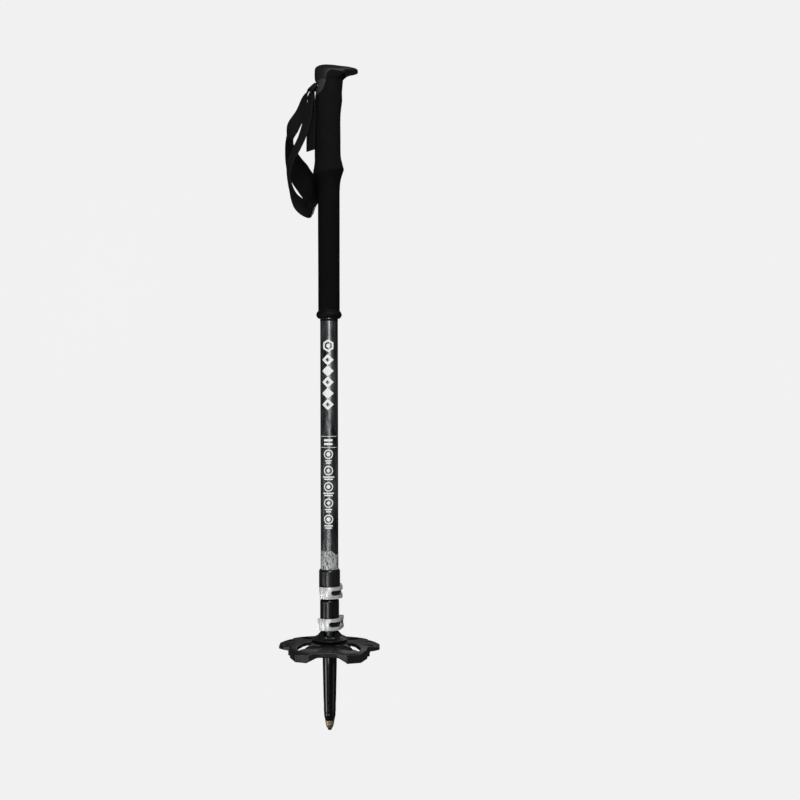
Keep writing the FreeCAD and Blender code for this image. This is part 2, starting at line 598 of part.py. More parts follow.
def disc_plan(label, inset):
    """Upright block with the disc's plan, drawn in by a share of its size."""
    first, second, third, fourth = quarters(DISC_CORNERS)
    outline = first + second[::-1] + third + fourth[::-1]
    corners = [(f"({x}) * (1 - {inset})", f"({y}) * (1 - {inset})") for x, y in outline]
    return padded(label, "XY_Plane", corners, "120")


def basket_disc():
    """Moulded umbrella: a thin shell, a scalloped rim wall and four leaf-shaped openings."""
    dome = revolved("basket_dome", [
        ("9", "disc_low"), ("60", "disc_low"), ("60", "disc_top - 9"), ("44", "disc_top - 4"),
        ("30", "disc_top - 2.5"), ("disc_r", "disc_top - 1.5"), ("9", "disc_top - 1.4")])
    under = revolved("basket_under", [
        ("hub_skirt_r", "disc_low - 9"), ("60", "disc_low - 9"), ("60", "disc_top - 12"),
        ("44", "disc_top - 7.5"), ("30", "disc_top - 6.2"), ("hub_skirt_r", "disc_top - 5.2")])
    core = cylinder("basket_core", "hub_skirt_r - 2", "disc_top - 3.6", z="0")
    hollow = common("basket_hollow", under, disc_plan("basket_inner_plan", "disc_inset"))
    blank = common("basket_blank", dome, disc_plan("basket_outer_plan", "0"))
    tools = [hollow, core]
    for index, corners in enumerate(quarters(LEAF)):
        tools.append(padded(f"basket_leaf_{index}", "XY_Plane", corners, "120"))
    tools.append(padded("basket_scallop", "XZ_Plane", [
        ("-21.5", "60"), ("19", "60"), ("19", "disc_low"), ("9", "scallop_z"), ("-10", "scallop_z"),
        ("-21.5", "disc_low")], "120", symmetric=True))
    for side, x in (("left", "-60"), ("right", "60 - side_cut")):
        tools.append(box(f"basket_side_{side}", "side_cut", "60", "side_z", x, "-30"))
    tools.append(cylinder("basket_skirt_end", "hub_skirt_r", "skirt_z"))
    disc = cut("basket_disc", blank, fuse("basket_tools", *tools))
    sub_part(place(disc, turn="basket_turn"), "basket_disc")


# ---------------------------------------------------------------- tip

def tip():
    ferrule = revolved("tip_ferrule", [
        ("holder_shank_r", "10"), ("holder_r", "10"), ("5.9", "15.5"), ("cap_seat_r - 0.3", "17.5"),
        ("cap_seat_r", "cap_seat_low"), ("cap_seat_r", "cap_seat_top"), ("6.35", "30"),
        ("ferrule_r", "68"), ("ferrule_r", "lower_tube_low"), ("ferrule_spigot_r", "lower_tube_low"),
        ("ferrule_spigot_r", "124"), ("5.2", "125"), ("0", "125"), ("0", "25"), ("holder_shank_r", "25")])
    sub_part(ferrule, "tip_ferrule")
    holder = revolved("tip_holder", [
        ("carbide_shank_r", "holder_low_z"), ("2.9", "holder_low_z"), ("4.1", "5.4"),
        ("holder_r", "holder_top_z"), ("holder_shank_r", "holder_top_z"), ("holder_shank_r", "24"),
        ("0", "24"), ("0", "9"), ("carbide_shank_r", "9")])
    sub_part(holder, "tip_holder")
    carbide = revolved("carbide_tip", [
        ("0", "0"), ("carbide_r - 0.4", "0"), ("carbide_r", "0.6"), ("carbide_r", "holder_low_z"),
        ("carbide_shank_r", "holder_low_z"), ("carbide_shank_r", "8.5"), ("0", "8.5")])
    sub_part(carbide, "carbide_tip")


# ---------------------------------------------------------------- assembly and export

def check():
    """Stops if any object failed, or any sub-part has no valid solid."""
    bad = [item.Name for item in doc.Objects if {"Invalid", "Error"} & set(item.State)]
    for item in SUB_PARTS:
        shape = item.Shape
        if shape.isNull() or not shape.isValid() or not shape.Solids:
            bad.append(item.Label)
    if bad:
        raise RuntimeError(f"failed objects: {bad}")


shaft_tubes()
tube_guide("middle_guide", "middle_tube_top", "upper_tube_bore_r - guide_gap",
           "middle_tube_bore_r - guide_gap")
tube_guide("lower_guide", "lower_tube_top", "middle_tube_bore_r - guide_gap",
           "lower_tube_bore_r - guide_gap")
locks()
grip()
grip_extension()
strap_anchor()
strap()
basket_hub()
basket_disc()
tip()
doc.recompute()
check()
os.makedirs("parts", exist_ok=True)
for item in SUB_PARTS:
    item.Shape.exportStep(f"parts/{item.Label}.step")
    bounds = item.Shape.BoundBox
    print(f"{item.Label:22s} {item.Shape.Volume:10.1f} solids {len(item.Shape.Solids)} "
          f"x {bounds.XMin:.1f}..{bounds.XMax:.1f} y {bounds.YMin:.1f}..{bounds.YMax:.1f} "
          f"z {bounds.ZMin:.1f}..{bounds.ZMax:.1f}")
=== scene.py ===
"""The looks of a collapsed three-section ski pole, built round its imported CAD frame.

Shapes are drawn in millimetres and stored in metres, in the frame's own axes: +Z runs up
the shaft, +X is the side the grip's beak points to, and the lock levers' eyes are at +Y.
"""
import math
import random

import bmesh
import bpy
from mathutils import Matrix, Vector


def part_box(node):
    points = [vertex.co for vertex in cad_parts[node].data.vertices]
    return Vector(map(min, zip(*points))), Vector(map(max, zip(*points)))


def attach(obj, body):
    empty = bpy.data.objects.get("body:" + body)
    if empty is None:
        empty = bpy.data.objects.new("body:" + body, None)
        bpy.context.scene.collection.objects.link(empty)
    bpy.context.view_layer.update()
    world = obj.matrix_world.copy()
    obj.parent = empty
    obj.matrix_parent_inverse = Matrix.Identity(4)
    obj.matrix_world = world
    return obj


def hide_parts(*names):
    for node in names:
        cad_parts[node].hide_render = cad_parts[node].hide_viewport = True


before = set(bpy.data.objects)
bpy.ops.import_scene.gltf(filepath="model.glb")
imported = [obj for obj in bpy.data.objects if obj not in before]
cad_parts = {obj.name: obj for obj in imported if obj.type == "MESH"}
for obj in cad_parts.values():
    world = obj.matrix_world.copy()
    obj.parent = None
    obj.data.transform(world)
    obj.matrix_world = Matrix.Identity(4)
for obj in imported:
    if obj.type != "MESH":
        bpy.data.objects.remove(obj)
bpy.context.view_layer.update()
MM = 0.001
SEGMENTS = 96
CREASE = 35.0


def node_box(name):
    """Lowest and highest corner of a CAD node, in millimetres."""
    low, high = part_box(name)
    return [value / MM for value in low], [value / MM for value in high]


def node_low(name):
    return node_box(name)[0][2]


def node_high(name):
    return node_box(name)[1][2]


def node_radius(name):
    """Radius of a turned node, from its reach along -X."""
    return -node_box(name)[0][0]


# ---- materials

class Finish:
    """One procedural material: a Principled shader with colour, roughness and bump patterns."""

    def __init__(self, name, colour, roughness, metallic=0.0, specular=0.5):
        self.material = bpy.data.materials.new(name)
        self.material.use_nodes = True
        self.tree = self.material.node_tree
        self.shader = self.tree.nodes["Principled BSDF"]
        self.set("Base Color", (*colour, 1.0))
        self.set("Roughness", roughness)
        self.set("Metallic", metallic)
        self.set("Specular IOR Level", specular)
        self.roughness = roughness
        self.normal = None

    def set(self, socket, value):
        self.shader.inputs[socket].default_value = value

    def node(self, kind, values=None, **settings):
        """A new node, with its settings and the values of its named inputs."""
        made = self.tree.nodes.new(kind)
        for key, value in settings.items():
            setattr(made, key, value)
        for socket, value in (values or {}).items():
            made.inputs[socket].default_value = value
        return made

    def link(self, out, socket):
        self.tree.links.new(out, socket)

    def place(self, scale, source="Object"):
        """Coordinates stretched by scale, in cycles per metre for object coordinates."""
        coordinates = self.node("ShaderNodeTexCoord")
        mapping = self.node("ShaderNodeMapping", {"Scale": scale})
        self.link(coordinates.outputs[source], mapping.inputs["Vector"])
        return mapping.outputs["Vector"]

    def noise(self, scale, detail=3.0, rough=0.55, distortion=0.0):
        made = self.node("ShaderNodeTexNoise", {
            "Scale": 1.0, "Detail": detail, "Roughness": rough, "Distortion": distortion})
        self.link(self.place(scale), made.inputs["Vector"])
        return made.outputs["Fac"]

    def ramp(self, value, low, high, colour_low, colour_high):
        made = self.node("ShaderNodeValToRGB")
        first, last = made.color_ramp.elements
        first.position, first.color = low, (*colour_low, 1.0)
        last.position, last.color = high, (*colour_high, 1.0)
        self.link(value, made.inputs["Fac"])
        return made.outputs["Color"]

    def tint(self, value, low, high, colour_low, colour_high):
        """Base colour from a pattern."""
        colour = self.ramp(value, low, high, colour_low, colour_high)
        self.link(colour, self.shader.inputs["Base Color"])
        return self

    def wear(self, value, spread):
        """Roughness that follows a pattern, either side of its own value."""
        made = self.node("ShaderNodeMapRange", {
            "From Min": 0.3, "From Max": 0.7, "To Min": max(self.roughness - spread, 0.02),
            "To Max": min(self.roughness + spread, 1.0)})
        self.link(value, made.inputs["Value"])
        self.link(made.outputs["Result"], self.shader.inputs["Roughness"])
        return self

    def bump(self, value, depth, strength=1.0):
        """Bump of a depth in metres, on top of any that is there already."""
        made = self.node("ShaderNodeBump", {"Strength": strength, "Distance": depth})
        self.link(value, made.inputs["Height"])
        if self.normal is not None:
            self.link(self.normal, made.inputs["Normal"])
        self.normal = made.outputs["Normal"]
        self.link(self.normal, self.shader.inputs["Normal"])
        return self

    def math(self, operation, first, second=None):
        made = self.node("ShaderNodeMath", operation=operation)
        for socket, value in zip(made.inputs, (first, second)):
            if value is None:
                continue
            if isinstance(value, (int, float)):
                socket.default_value = value
            else:
                self.link(value, socket)
        return made.outputs["Value"]


def grey(value, tint=0.0):
    """A neutral colour, cooler for a positive tint."""
    return (value * (1 - tint), value, value * (1 + tint))


def moulded(name, value, roughness, specular, grain=2500.0, depth=0.00002, tint=0.02):
    """Moulded plastic: faint cloudy colour and a spark-eroded grain."""
    made = Finish(name, grey(value, tint), roughness, specular=specular)
    cloud = made.noise((90, 90, 60), 4)
    fine = made.noise((grain, grain, grain), 2)
    made.tint(cloud, 0.3, 0.7, grey(value * 0.88, tint), grey(value * 1.12, tint))
    made.wear(fine, 0.06)
    return made.bump(fine, depth)


def foam_finish(name, value):
    """Closed-cell foam: fine pores over soft mottling."""
    made = Finish(name, grey(value, -0.02), 0.88, specular=0.12)
    pores = made.node("ShaderNodeTexVoronoi", {"Scale": 1.0}, feature="F1")
    made.link(made.place((1300, 1300, 1300)), pores.inputs["Vector"])
    mottle = made.noise((160, 160, 120), 5, 0.6)
    made.tint(mottle, 0.3, 0.72, grey(value * 0.8, -0.02), grey(value * 1.25, -0.02))
    made.bump(pores.outputs["Distance"], 0.00010, 0.6)
    return made.bump(made.noise((420, 420, 420), 3), 0.00006)


def shaft_finish(name, dark, light, roughness):
    """Anodised tube with soft light streaks that run along it."""
    made = Finish(name, grey(dark, 0.02), roughness, metallic=1.0)
    streaks = made.noise((150, 150, 22), 4, 0.6, 0.9)
    fine = made.noise((900, 900, 30), 2)
    made.tint(streaks, 0.38, 0.66, grey(dark, 0.03), grey(light, 0.03))
    made.wear(streaks, 0.05)
    return made.bump(fine, 0.000008)


def brushed(name, colour, roughness, along=(40, 40, 2600)):
    """Satin metal with fine brush lines round it."""
    made = Finish(name, colour, roughness, metallic=1.0)
    lines = made.noise(along, 3)
    made.tint(lines, 0.3, 0.7, tuple(0.93 * c for c in colour), tuple(min(1.05 * c, 1) for c in colour))
    made.wear(lines, 0.05)
    return made.bump(lines, 0.00001, 0.5)


def satin_alloy(name, colour, roughness):
    """Bead-blasted alloy: mostly even, with faint draw lines and a cloudy sheen."""
    made = Finish(name, colour, roughness, metallic=0.45, specular=0.6)
    lines = made.noise((60, 60, 900), 3)
    cloud = made.noise((140, 140, 140), 3)
    made.tint(cloud, 0.3, 0.7, tuple(0.95 * c for c in colour), colour)
    made.wear(lines, 0.04)
    return made.bump(lines, 0.000006, 0.3)


def weave_finish(name, value, pitch, depth, light=1.5, specular=0.2):
    """Woven band: crossed threads in its own UV millimetres, with a little fuzz."""
    made = Finish(name, grey(value), 0.8, specular=specular)
    waves = []
    for direction in ("X", "Y"):
        wave = made.node("ShaderNodeTexWave", {"Scale": math.pi / (10 * pitch)}, bands_direction=direction)
        made.link(made.place((1, 1, 1), "UV"), wave.inputs["Vector"])
        waves.append(wave.outputs["Fac"])
    threads = made.math("MULTIPLY", waves[0], waves[1])
    fuzz = made.noise((1500, 1500, 1500), 2)
    mixed = made.math("ADD", made.math("MULTIPLY", threads, 0.7), made.math("MULTIPLY", fuzz, 0.3))
    made.tint(mixed, 0.1, 0.75, grey(value * 0.6), grey(value * light))
    return made.bump(mixed, depth)


def print_finish(name, value, painted_glow):
    """Pale ink: slightly uneven and satin, with a faint painted glow: emission that stands in for more
    light on it.
    """
    made = Finish(name, grey(value, 0.01), 0.45, specular=0.4)
    patchy = made.noise((700, 700, 700), 3)
    made.tint(patchy, 0.3, 0.6, grey(value * 0.92, 0.01), grey(value, 0.01))
    # painted light: the ink gives off a faint light of its own, so it looks brighter than the lamps make
    # it
    made.set("Emission Color", grey(value) + (1.0,))
    made.set("Emission Strength", painted_glow)
    return made.wear(patchy, 0.08)


def band_finish(name, light, dark):
    """Silver band under a tangle of fine dark lines: the contours of two stretched noises."""
    made = Finish(name, grey(light, 0.01), 0.4, metallic=0.2)
    contours = []
    for scale, distortion, count in (((200, 200, 55), 1.0, 6.0), ((260, 260, 80), 1.5, 4.0)):
        hills = made.math("MULTIPLY", made.noise(scale, 2, 0.5, distortion), count)
        contours.append(made.math("PINGPONG", hills, 0.5))
    thin = made.math("MINIMUM", *contours)
    return made.tint(thin, 0.03, 0.13, grey(dark), grey(light, 0.01))


FINISHES = {
    "grip_plastic": moulded("moulded_grip_plastic", 0.015, 0.5, 0.30),
    "wedge_plastic": moulded("moulded_wedge_plastic", 0.050, 0.55, 0.35),
    "foam": foam_finish("upper_foam", 0.0070),
    "foam_lower": foam_finish("lower_foam", 0.0038),
    "end_ring_rubber": moulded("ring_rubber", 0.005, 0.6, 0.15, 1800, 0.00003),
    "upper_shaft": shaft_finish("anodised_upper_shaft", 0.07, 0.42, 0.32),
    "lower_shaft": shaft_finish("anodised_lower_shaft", 0.06, 0.12, 0.35),
    "collar_plastic": moulded("satin_collar_plastic", 0.009, 0.27, 0.8, 3000, 0.000012, 0.05),
    "collar_gloss": moulded("gloss_collar_plastic", 0.006, 0.24, 0.5, 3000, 0.000004, 0.05),
    "inner_plastic": moulded("inner_nylon", 0.06, 0.5, 0.4),
    "lever_metal": satin_alloy("satin_lever_alloy", (0.96, 0.975, 0.97), 0.36),
    "steel_hardware": brushed("turned_steel", (0.42, 0.43, 0.45), 0.3, (2600, 40, 40)),
    "saddle_steel": brushed("pressed_steel", (0.5, 0.5, 0.52), 0.35),
    "webbing": weave_finish("woven_webbing", 0.0095, 1.1, 0.0002, 1.7),
    "pad_fabric": weave_finish("knitted_pad", 0.0060, 1.6, 0.00015, 1.8, 0.08),
    "label_fabric": weave_finish("woven_tag", 0.55, 0.7, 0.0001, 1.2),
    "ferrule_plastic": moulded("gloss_ferrule_plastic", 0.003, 0.18, 0.5, 3000, 0.000004, 0.05),
    "holder_metal": brushed("bronze_holder", (0.56, 0.47, 0.33), 0.42),
    "carbide": brushed("sintered_carbide", (0.03, 0.03, 0.035), 0.45),
    "basket_plastic": moulded("basket_nylon", 0.010, 0.35, 0.45, 1500, 0.00003, 0.03),
    # the shaft print's last value is a painted glow: emission that stands in for more light on the ink
    "shaft_print": print_finish("pale_shaft_print", 0.93, 0.25),
    "scale_print": print_finish("scale_print", 0.55, 0.0),
    "wave_band": band_finish("silver_wave_band", 0.76, 0.02),
}


# ---- mesh building

def piece(name, points, faces, finish, body, stands_for=(), crease=CREASE, slot=None):
    """A named piece from millimetre points, which rides on a body and stands for CAD nodes."""
    mesh = bpy.data.meshes.new(name)
    mesh.from_pydata([Vector(point) * MM for point in points], [], faces)
    made = bpy.data.objects.new(name, mesh)
    bpy.context.scene.collection.objects.link(made)
    outward(made)
    finished(made, finish, body, stands_for, crease)
    return made


def coat(made, finish, crease):
    """Gives a mesh its one material and its shading."""
    made.data.materials.clear()
    made.data.materials.append(FINISHES[finish].material)
    for face in made.data.polygons:
        face.material_index = 0
    shade(made, crease)


def finished(made, finish, body, stands_for=(), crease=CREASE):
    """Gives a piece its finish and its place in the frame."""
    coat(made, finish, crease)
    if body is not None:
        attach(made, body)
        if stands_for:
            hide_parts(*stands_for)


def outward(made):
    """Turns every face to point out."""
    work = bmesh.new()
    work.from_mesh(made.data)
    bmesh.ops.recalc_face_normals(work, faces=work.faces)
    work.to_mesh(made.data)
    work.free()


def shade(made, crease):
    """Smooth shading with sharp edges above an angle in degrees."""
    made.data.shade_smooth()
    made.data.set_sharp_from_angle(angle=math.radians(crease))


def settle(made):
    """Turns an object's modifiers into its own mesh."""
    graph = bpy.context.evaluated_depsgraph_get()
    mesh = bpy.data.meshes.new_from_object(made.evaluated_get(graph))
    made.modifiers.clear()
    old = made.data
    made.data = mesh
    bpy.data.meshes.remove(old)


def modify(made, kind, **settings):
    """Adds a modifier with its settings."""
    step = made.modifiers.new(kind, kind)
    for key, value in settings.items():
        setattr(step, key, value)


def carve(made, shape, operation="DIFFERENCE"):
    """One exact boolean with a shape's points and faces, or with an object, which it uses up."""
    helper = shape
    if not isinstance(shape, bpy.types.Object):
        helper = piece("cutting_tool", *shape, "inner_plastic", None)
    modify(made, "BOOLEAN", operation=operation, solver="EXACT", object=helper)
    settle(made)
    bpy.data.objects.remove(helper)


def soften(made, width, angle=30.0, segments=3):
    """Rounds the edges that are sharper than an angle, by a width in millimetres."""
    modify(made, "BEVEL", width=width * MM, segments=segments, limit_method="ANGLE",
           angle_limit=math.radians(angle), use_clamp_overlap=True)
    modify(made, "WEIGHTED_NORMAL", keep_sharp=True)
    settle(made)
    shade(made, CREASE)


def remeshed(made, voxel, rounds, crease=60.0):
    """One soft moulded skin: voxel remesh, then smoothing."""
    modify(made, "REMESH", mode="VOXEL", voxel_size=voxel * MM)
    modify(made, "SMOOTH", factor=0.5, iterations=rounds)
    settle(made)
    shade(made, crease)
    return made


def swollen(made, height):
    """Moves the skin out along its normals, in millimetres."""
    modify(made, "DISPLACE", mid_level=0.0, strength=height * MM)
    settle(made)


def angles(count):
    """Even steps round a full turn, in radians."""
    return [2 * math.pi * index / count for index in range(count)]


def arc(centre, radius, start, end, steps):
    """Points of an arc, its ends in degrees."""
    swept = [math.radians(start + (end - start) * i / steps) for i in range(steps + 1)]
    return [(centre[0] + radius * math.cos(a), centre[1] + radius * math.sin(a)) for a in swept]


def circle(centre, radius, count=36):
    """Points of a whole circle."""
    return arc(centre, radius, 0, 360 - 360 / count, count - 1)


def rounded(corners, radius, steps=5):
    """A closed outline with each corner turned into an arc of a radius, or its own third value."""
    outline = []
    count = len(corners)
    for index, corner in enumerate(corners):
        here = Vector(corner[:2])
        size = corner[2] if len(corner) > 2 else radius
        before = Vector(corners[index - 1][:2]) - here
        after = Vector(corners[(index + 1) % count][:2]) - here
        turn = math.pi - before.angle(after)
        if size <= 0 or turn < 0.02:
            outline.append(tuple(here))
            continue
        reach = min(size * math.tan(turn / 2), 0.48 * before.length, 0.48 * after.length)
        start = here + before.normalized() * reach
        end = here + after.normalized() * reach
        for step in range(steps + 1):
            t = step / steps
            outline.append(tuple(start.lerp(here, t).lerp(here.lerp(end, t), t)))
    return outline


def lathe(profile, segments=SEGMENTS, closed=True):
    """Points and faces of a profile of (radius, height), turned about Z."""
    points = [(r * math.cos(a), r * math.sin(a), z) for a in angles(segments) for r, z in profile]
    count = len(profile)
    faces = []
    for turn in range(segments):
        here, there = turn * count, (turn + 1) % segments * count
        for step in range(count if closed else count - 1):
            after = (step + 1) % count
            faces.append((here + step, there + step, there + after, here + after))
    return points, faces


def loft(rings):
    """Points and faces of a closed skin through rings of equal point counts, capped at both ends."""
    count = len(rings[0])
    points = [point for ring in rings for point in ring]
    faces = [tuple(reversed(range(count)))]
    for row in range(len(rings) - 1):
        here, there = row * count, (row + 1) * count
        for step in range(count):
            after = (step + 1) % count
            faces.append((here + step, here + after, there + after, there + step))
    faces.append(tuple(range(len(points) - count, len(points))))
    return points, faces


def prism(outline, low, high):
    """Points and faces of an outline raised along Z."""
    return loft([[(x, y, low) for x, y in outline], [(x, y, high) for x, y in outline]])


def slab(outline, half):
    """Points and faces of an (x, z) outline, drawn out to both sides along Y."""
    return loft([[(x, -half, z) for x, z in outline], [(x, half, z) for x, z in outline]])


def block(low, high):
    """Points and faces of a straight-sided block between two corners."""
    outline = [(low[0], low[1]), (high[0], low[1]), (high[0], high[1]), (low[0], high[1])]
    return prism(outline, low[2], high[2])


def turned(shape, degrees, lift=0.0):
    """A shape's points turned about Z, then raised."""
    points, faces = shape
    spin = Matrix.Rotation(math.radians(degrees), 3, "Z")
    return [tuple(spin @ Vector(point) + Vector((0, 0, lift))) for point in points], faces


def smooth_rows(rows, steps):
    """Catmull-Rom curve through rows of numbers."""
    first = [2 * a - b for a, b in zip(rows[0], rows[1])]
    last = [2 * a - b for a, b in zip(rows[-1], rows[-2])]
    knots = [first, *rows, last]
    curve = []
    for index in range(1, len(knots) - 2):
        for step in range(steps):
            t = step / steps
            curve.append([0.5 * (2 * b + (c - a) * t + (2 * a - 5 * b + 4 * c - d) * t * t
                                 + (3 * b - a - 3 * c + d) * t ** 3)
                          for a, b, c, d in zip(*knots[index - 1:index + 3])])
    curve.append(list(rows[-1]))
    return curve


# ---- grip

# the ridge between the two foams: height, centre, half widths along X and Y, and tilt in degrees
RIDGE_Z = 566.5
RIDGE = (RIDGE_Z, -0.55, 15.9, 14.6, 12.5)
# height, front and back of the upper foam, and its half width along Y
GRIP_Y = 12.2
FOAM_RUN = [
    (576.0, 13.8, -14.4), (584.0, 12.3, -14.3), (604.0, 12.1, -14.2), (622.0, 12.1, -14.2),
    (631.0, 12.8, -14.1), (640.0, 13.9, -13.7), (648.0, 13.7, -13.0), (656.0, 14.4, -12.4),
    (662.0, 15.0, -12.7), (667.0, 16.2, -13.1),
]
# place along the beak, top, bottom and half width of the head
HEAD_SLICES = [
    (-13.8, 670.5, 660.5, 3.0), (-13.0, 672.3, 659.0, 6.5), (-10.3, 674.0, 657.0, 10.0),
    (-6.0, 674.9, 655.0, 12.6), (-1.5, 675.0, 655.0, 13.6), (5.0, 674.6, 656.0, 13.6),
    (10.0, 673.9, 658.0, 12.8), (14.0, 673.3, 661.5, 12.0), (18.0, 672.7, 665.6, 11.1),
    (22.0, 672.0, 666.9, 10.1), (26.0, 671.2, 667.5, 8.7), (28.5, 670.5, 668.1, 7.0),
    (29.9, 669.8, 668.6, 4.5),
]
# the line between foam and head, from the back of the neck to the underside of the beak
HEAD_EDGE = [
    (-13.3, 642.6), (-5.9, 647.8), (-2.5, 656.2), (-1.3, 662.2), (0.6, 665.6), (4.3, 667.6),
    (8.9, 667.0), (17.0, 665.2), (24.0, 662.5),
]
WEDGE_TOP = 658.5


def grip_ring(z, centre, half_x, half_y, tilt):
    """One oval ring of the grip, higher at the front by its tilt in degrees."""
    rise = math.tan(math.radians(tilt))
    oval = [(half_x * math.cos(angle), half_y * math.sin(angle)) for angle in angles(72)]
    return [(centre + x, y, z + x * rise) for x, y in oval]


def head_ring(x, top, low, half):
    """One upright ring of the head at a place along the beak, flatter below than above."""
    ring = []
    for angle in angles(48):
        across, up = math.cos(angle), math.sin(angle)
        power = 0.80 if up > 0 else 0.62
        y = half * math.copysign(abs(across) ** power, across)
        z = (top + low) / 2 + (top - low) / 2 * math.copysign(abs(up) ** power, up)
        ring.append((x, y, z))
    return ring


def shaft_core(low, high):
    """The room that the upper tube takes between two heights."""
    return prism(circle((0, 0), node_radius("upper_tube"), 72), low, high)


def grip_form():
    """The whole grip above the ridge as one skin, before it is split into its materials."""
    rows = [(RIDGE_Z - 5, *RIDGE[1:]), (RIDGE_Z - 2, *RIDGE[1:]), RIDGE]
    rows += [(z, (front + back) / 2, (front - back) / 2, GRIP_Y, 0.0) for z, front, back in FOAM_RUN]
    neck = [grip_ring(*row) for row in smooth_rows(rows, 6)]
    form = piece("grip_form", *loft(neck), "foam", None)
    carve(form, loft([head_ring(*row) for row in smooth_rows(HEAD_SLICES, 4)]), "UNION")
    return remeshed(form, 0.6, 8)


def copied(made, name):
    twin = made.copy()
    twin.data = made.data.copy()
    twin.name = name
    bpy.context.scene.collection.objects.link(twin)
    return twin


def grip():
    """Foam sleeve, hard head and lighter strap wedge, split from one skin."""
    form = grip_form()
    edge = smooth_rows(HEAD_EDGE, 5)
    zone = slab([(-30.0, 642.0), *edge, (45.0, 655.0), (45.0, 700.0), (-30.0, 700.0)], 30)
    foam = copied(form, "grip_foam_sleeve")
    head = copied(form, "grip_head_shell")
    bpy.data.objects.remove(form)
    carve(foam, zone)
    carve(head, zone, "INTERSECT")
    swollen(head, 0.22)
    slope = math.tan(math.radians(RIDGE[4]))
    ridge = [(-40, RIDGE_Z - 40 * slope), (40, RIDGE_Z + 40 * slope), (40, 500), (-40, 500)]
    carve(foam, slab(ridge, 30))
    mouth_low, mouth_high, mouth_half = 651.2, 657.0, 6.8
    mouth = rounded([(-25, mouth_low), (-2.5, mouth_low), (-2.5, mouth_high), (-25, mouth_high)], 1.2)
    for made in (foam, head):
        carve(made, slab(mouth, mouth_half))
        carve(made, shaft_core(540, node_high("upper_tube")))
    wedge = copied(head, "grip_strap_wedge")
    low_half = block((-40, -30, 600), (40, 30, WEDGE_TOP))
    carve(head, low_half)
    carve(wedge, low_half, "INTERSECT")
    swollen(wedge, -0.08)
    for made, finish, node in ((foam, "foam", "grip_foam"), (head, "grip_plastic", "grip_head"),
                               (wedge, "wedge_plastic", "strap_wedge")):
        finished(made, finish, "upper_section", (node,), 40)


def grip_extension():
    """Long lower sleeve that flares up to the ridge, with a rolled lip at the seam."""
    low = node_low("grip_extension")
    z, centre, half_x, half_y, tilt = RIDGE
    rows = [
        (low, 0.0, 10.4, 10.4, 0.0), (low + 0.5, 0.0, 10.9, 10.9, 0.0), (low + 40, 0.0, 10.95, 10.95, 0.0),
        (low + 80, 0.0, 11.05, 11.05, 0.0), (540.0, 0.0, 11.1, 11.1, 0.0), (548.0, 0.0, 11.2, 11.2, 1.5),
        (556.5, -0.4, 12.4, 12.0, 6.0), (562.5, centre, 14.6, 13.7, 10.5),
        (z - 1.2, centre, 15.8, 14.6, 12.0), (z - 0.35, centre, half_x, half_y, tilt),
        (z - 0.05, centre, half_x - 0.6, half_y - 0.6, tilt),
    ]
    sleeve = piece("grip_extension_sleeve", *loft([grip_ring(*row) for row in smooth_rows(rows, 5)]),
                   "foam_lower", "upper_section", ("grip_extension",), 50)
    carve(sleeve, shaft_core(low - 5, z + 10))
    shade(sleeve, 40)


def end_ring():
    """Soft-edged ring that ends the foam."""
    low, high = node_low("grip_end_ring"), node_high("grip_end_ring")
    radius, bore = node_radius("grip_end_ring"), node_radius("upper_tube")
    profile = rounded([
        (bore, low, 0.2), (11.0, low, 0.5), (12.4, low + 1.6, 1.5), (radius, low + 3.6, 1.2),
        (12.2, low + 6.4, 2.5), (11.1, low + 7.4, 1.0), (11.0, high, 0.3), (bore, high, 0.2)], 0.5)
    piece("grip_end_band", *lathe(profile), "end_ring_rubber", "upper_section", ("grip_end_ring",), 50)


# ---- wrist strap

# centre, direction of the width, and width, at each station of the loop and of the tail
LOOP = [
    (-17.94, 0, 651.82, 0, -1, 0, 12), (-20.2, 0.2, 649.7, 0.05, -1, -0.05, 12.5),
    (-24.6, 4, 642, 0.44, -0.82, -0.36, 14), (-29, 9, 629.5, 0.64, -0.67, -0.38, 16.6),
    (-37.3, 13.4, 616.5, 0.76, -0.61, -0.22, 18), (-41.2, 17.8, 605.5, 0.46, -0.88, -0.06, 17.5),
    (-41.2, 22, 596, 0.48, -0.87, 0.12, 20), (-37.8, 27, 583, 0.66, -0.62, 0.35, 22.5),
    (-32, 30, 571, 0.79, -0.12, 0.58, 23.5), (-23.5, 30, 558, 0.8, 0, 0.59, 23.5),
    (-17, 25.5, 546.5, 0.78, -0.1, 0.61, 21), (-15.3, 18.5, 537.5, 0.62, -0.25, 0.74, 17),
    (-16.4, 8.5, 530, 0.36, -0.36, 0.86, 15), (-20.5, -3, 527.4, 0.18, -0.24, 0.95, 15),
    (-27, -13.5, 531, 0.28, -0.62, 0.73, 15), (-34.2, -21.5, 541.5, 0.25, -0.93, 0.25, 15),
    (-38, -26, 556.5, 0.25, -0.96, 0, 15), (-36.5, -27, 571, 0.48, -0.87, -0.12, 15),
    (-30.8, -25.2, 584, 0.56, -0.8, -0.19, 15), (-24.9, -21.2, 598.5, 0.56, -0.81, -0.19, 15),
    (-21.2, -15.6, 614, 0.55, -0.82, -0.19, 15), (-19.5, -9.9, 629.5, 0.52, -0.84, -0.12, 15),
    (-18.5, -4.9, 639, 0.42, -0.91, -0.05, 14), (-19.2, -1.2, 646, 0.28, -0.96, 0, 12.5),
    (-16.95, 0, 650.7, 0, -1, 0, 12),
]
PAD_START, PAD_END, TAG_STATION = 5, 11, 12
TAIL = [
    (-15.96, 0, 649.57, 0, -1, 0, 12), (-16.1, -0.3, 645.8, 0.3, -0.95, 0, 13),
    (-16.5, -0.3, 639, 0.42, -0.91, 0, 14), (-17, -1.4, 626, 0.54, -0.84, 0, 15),
    (-18, -1.6, 607, 0.6, -0.8, 0, 15), (-18.4, -1.6, 588.5, 0.58, -0.8, -0.12, 15),
]
STRAP_STEPS = 8
WEBBING_WIDE, WEBBING_THICK, PAD_THICK = 15.0, 1.4, 3.6
TAB_DOWN = math.radians(41.35)
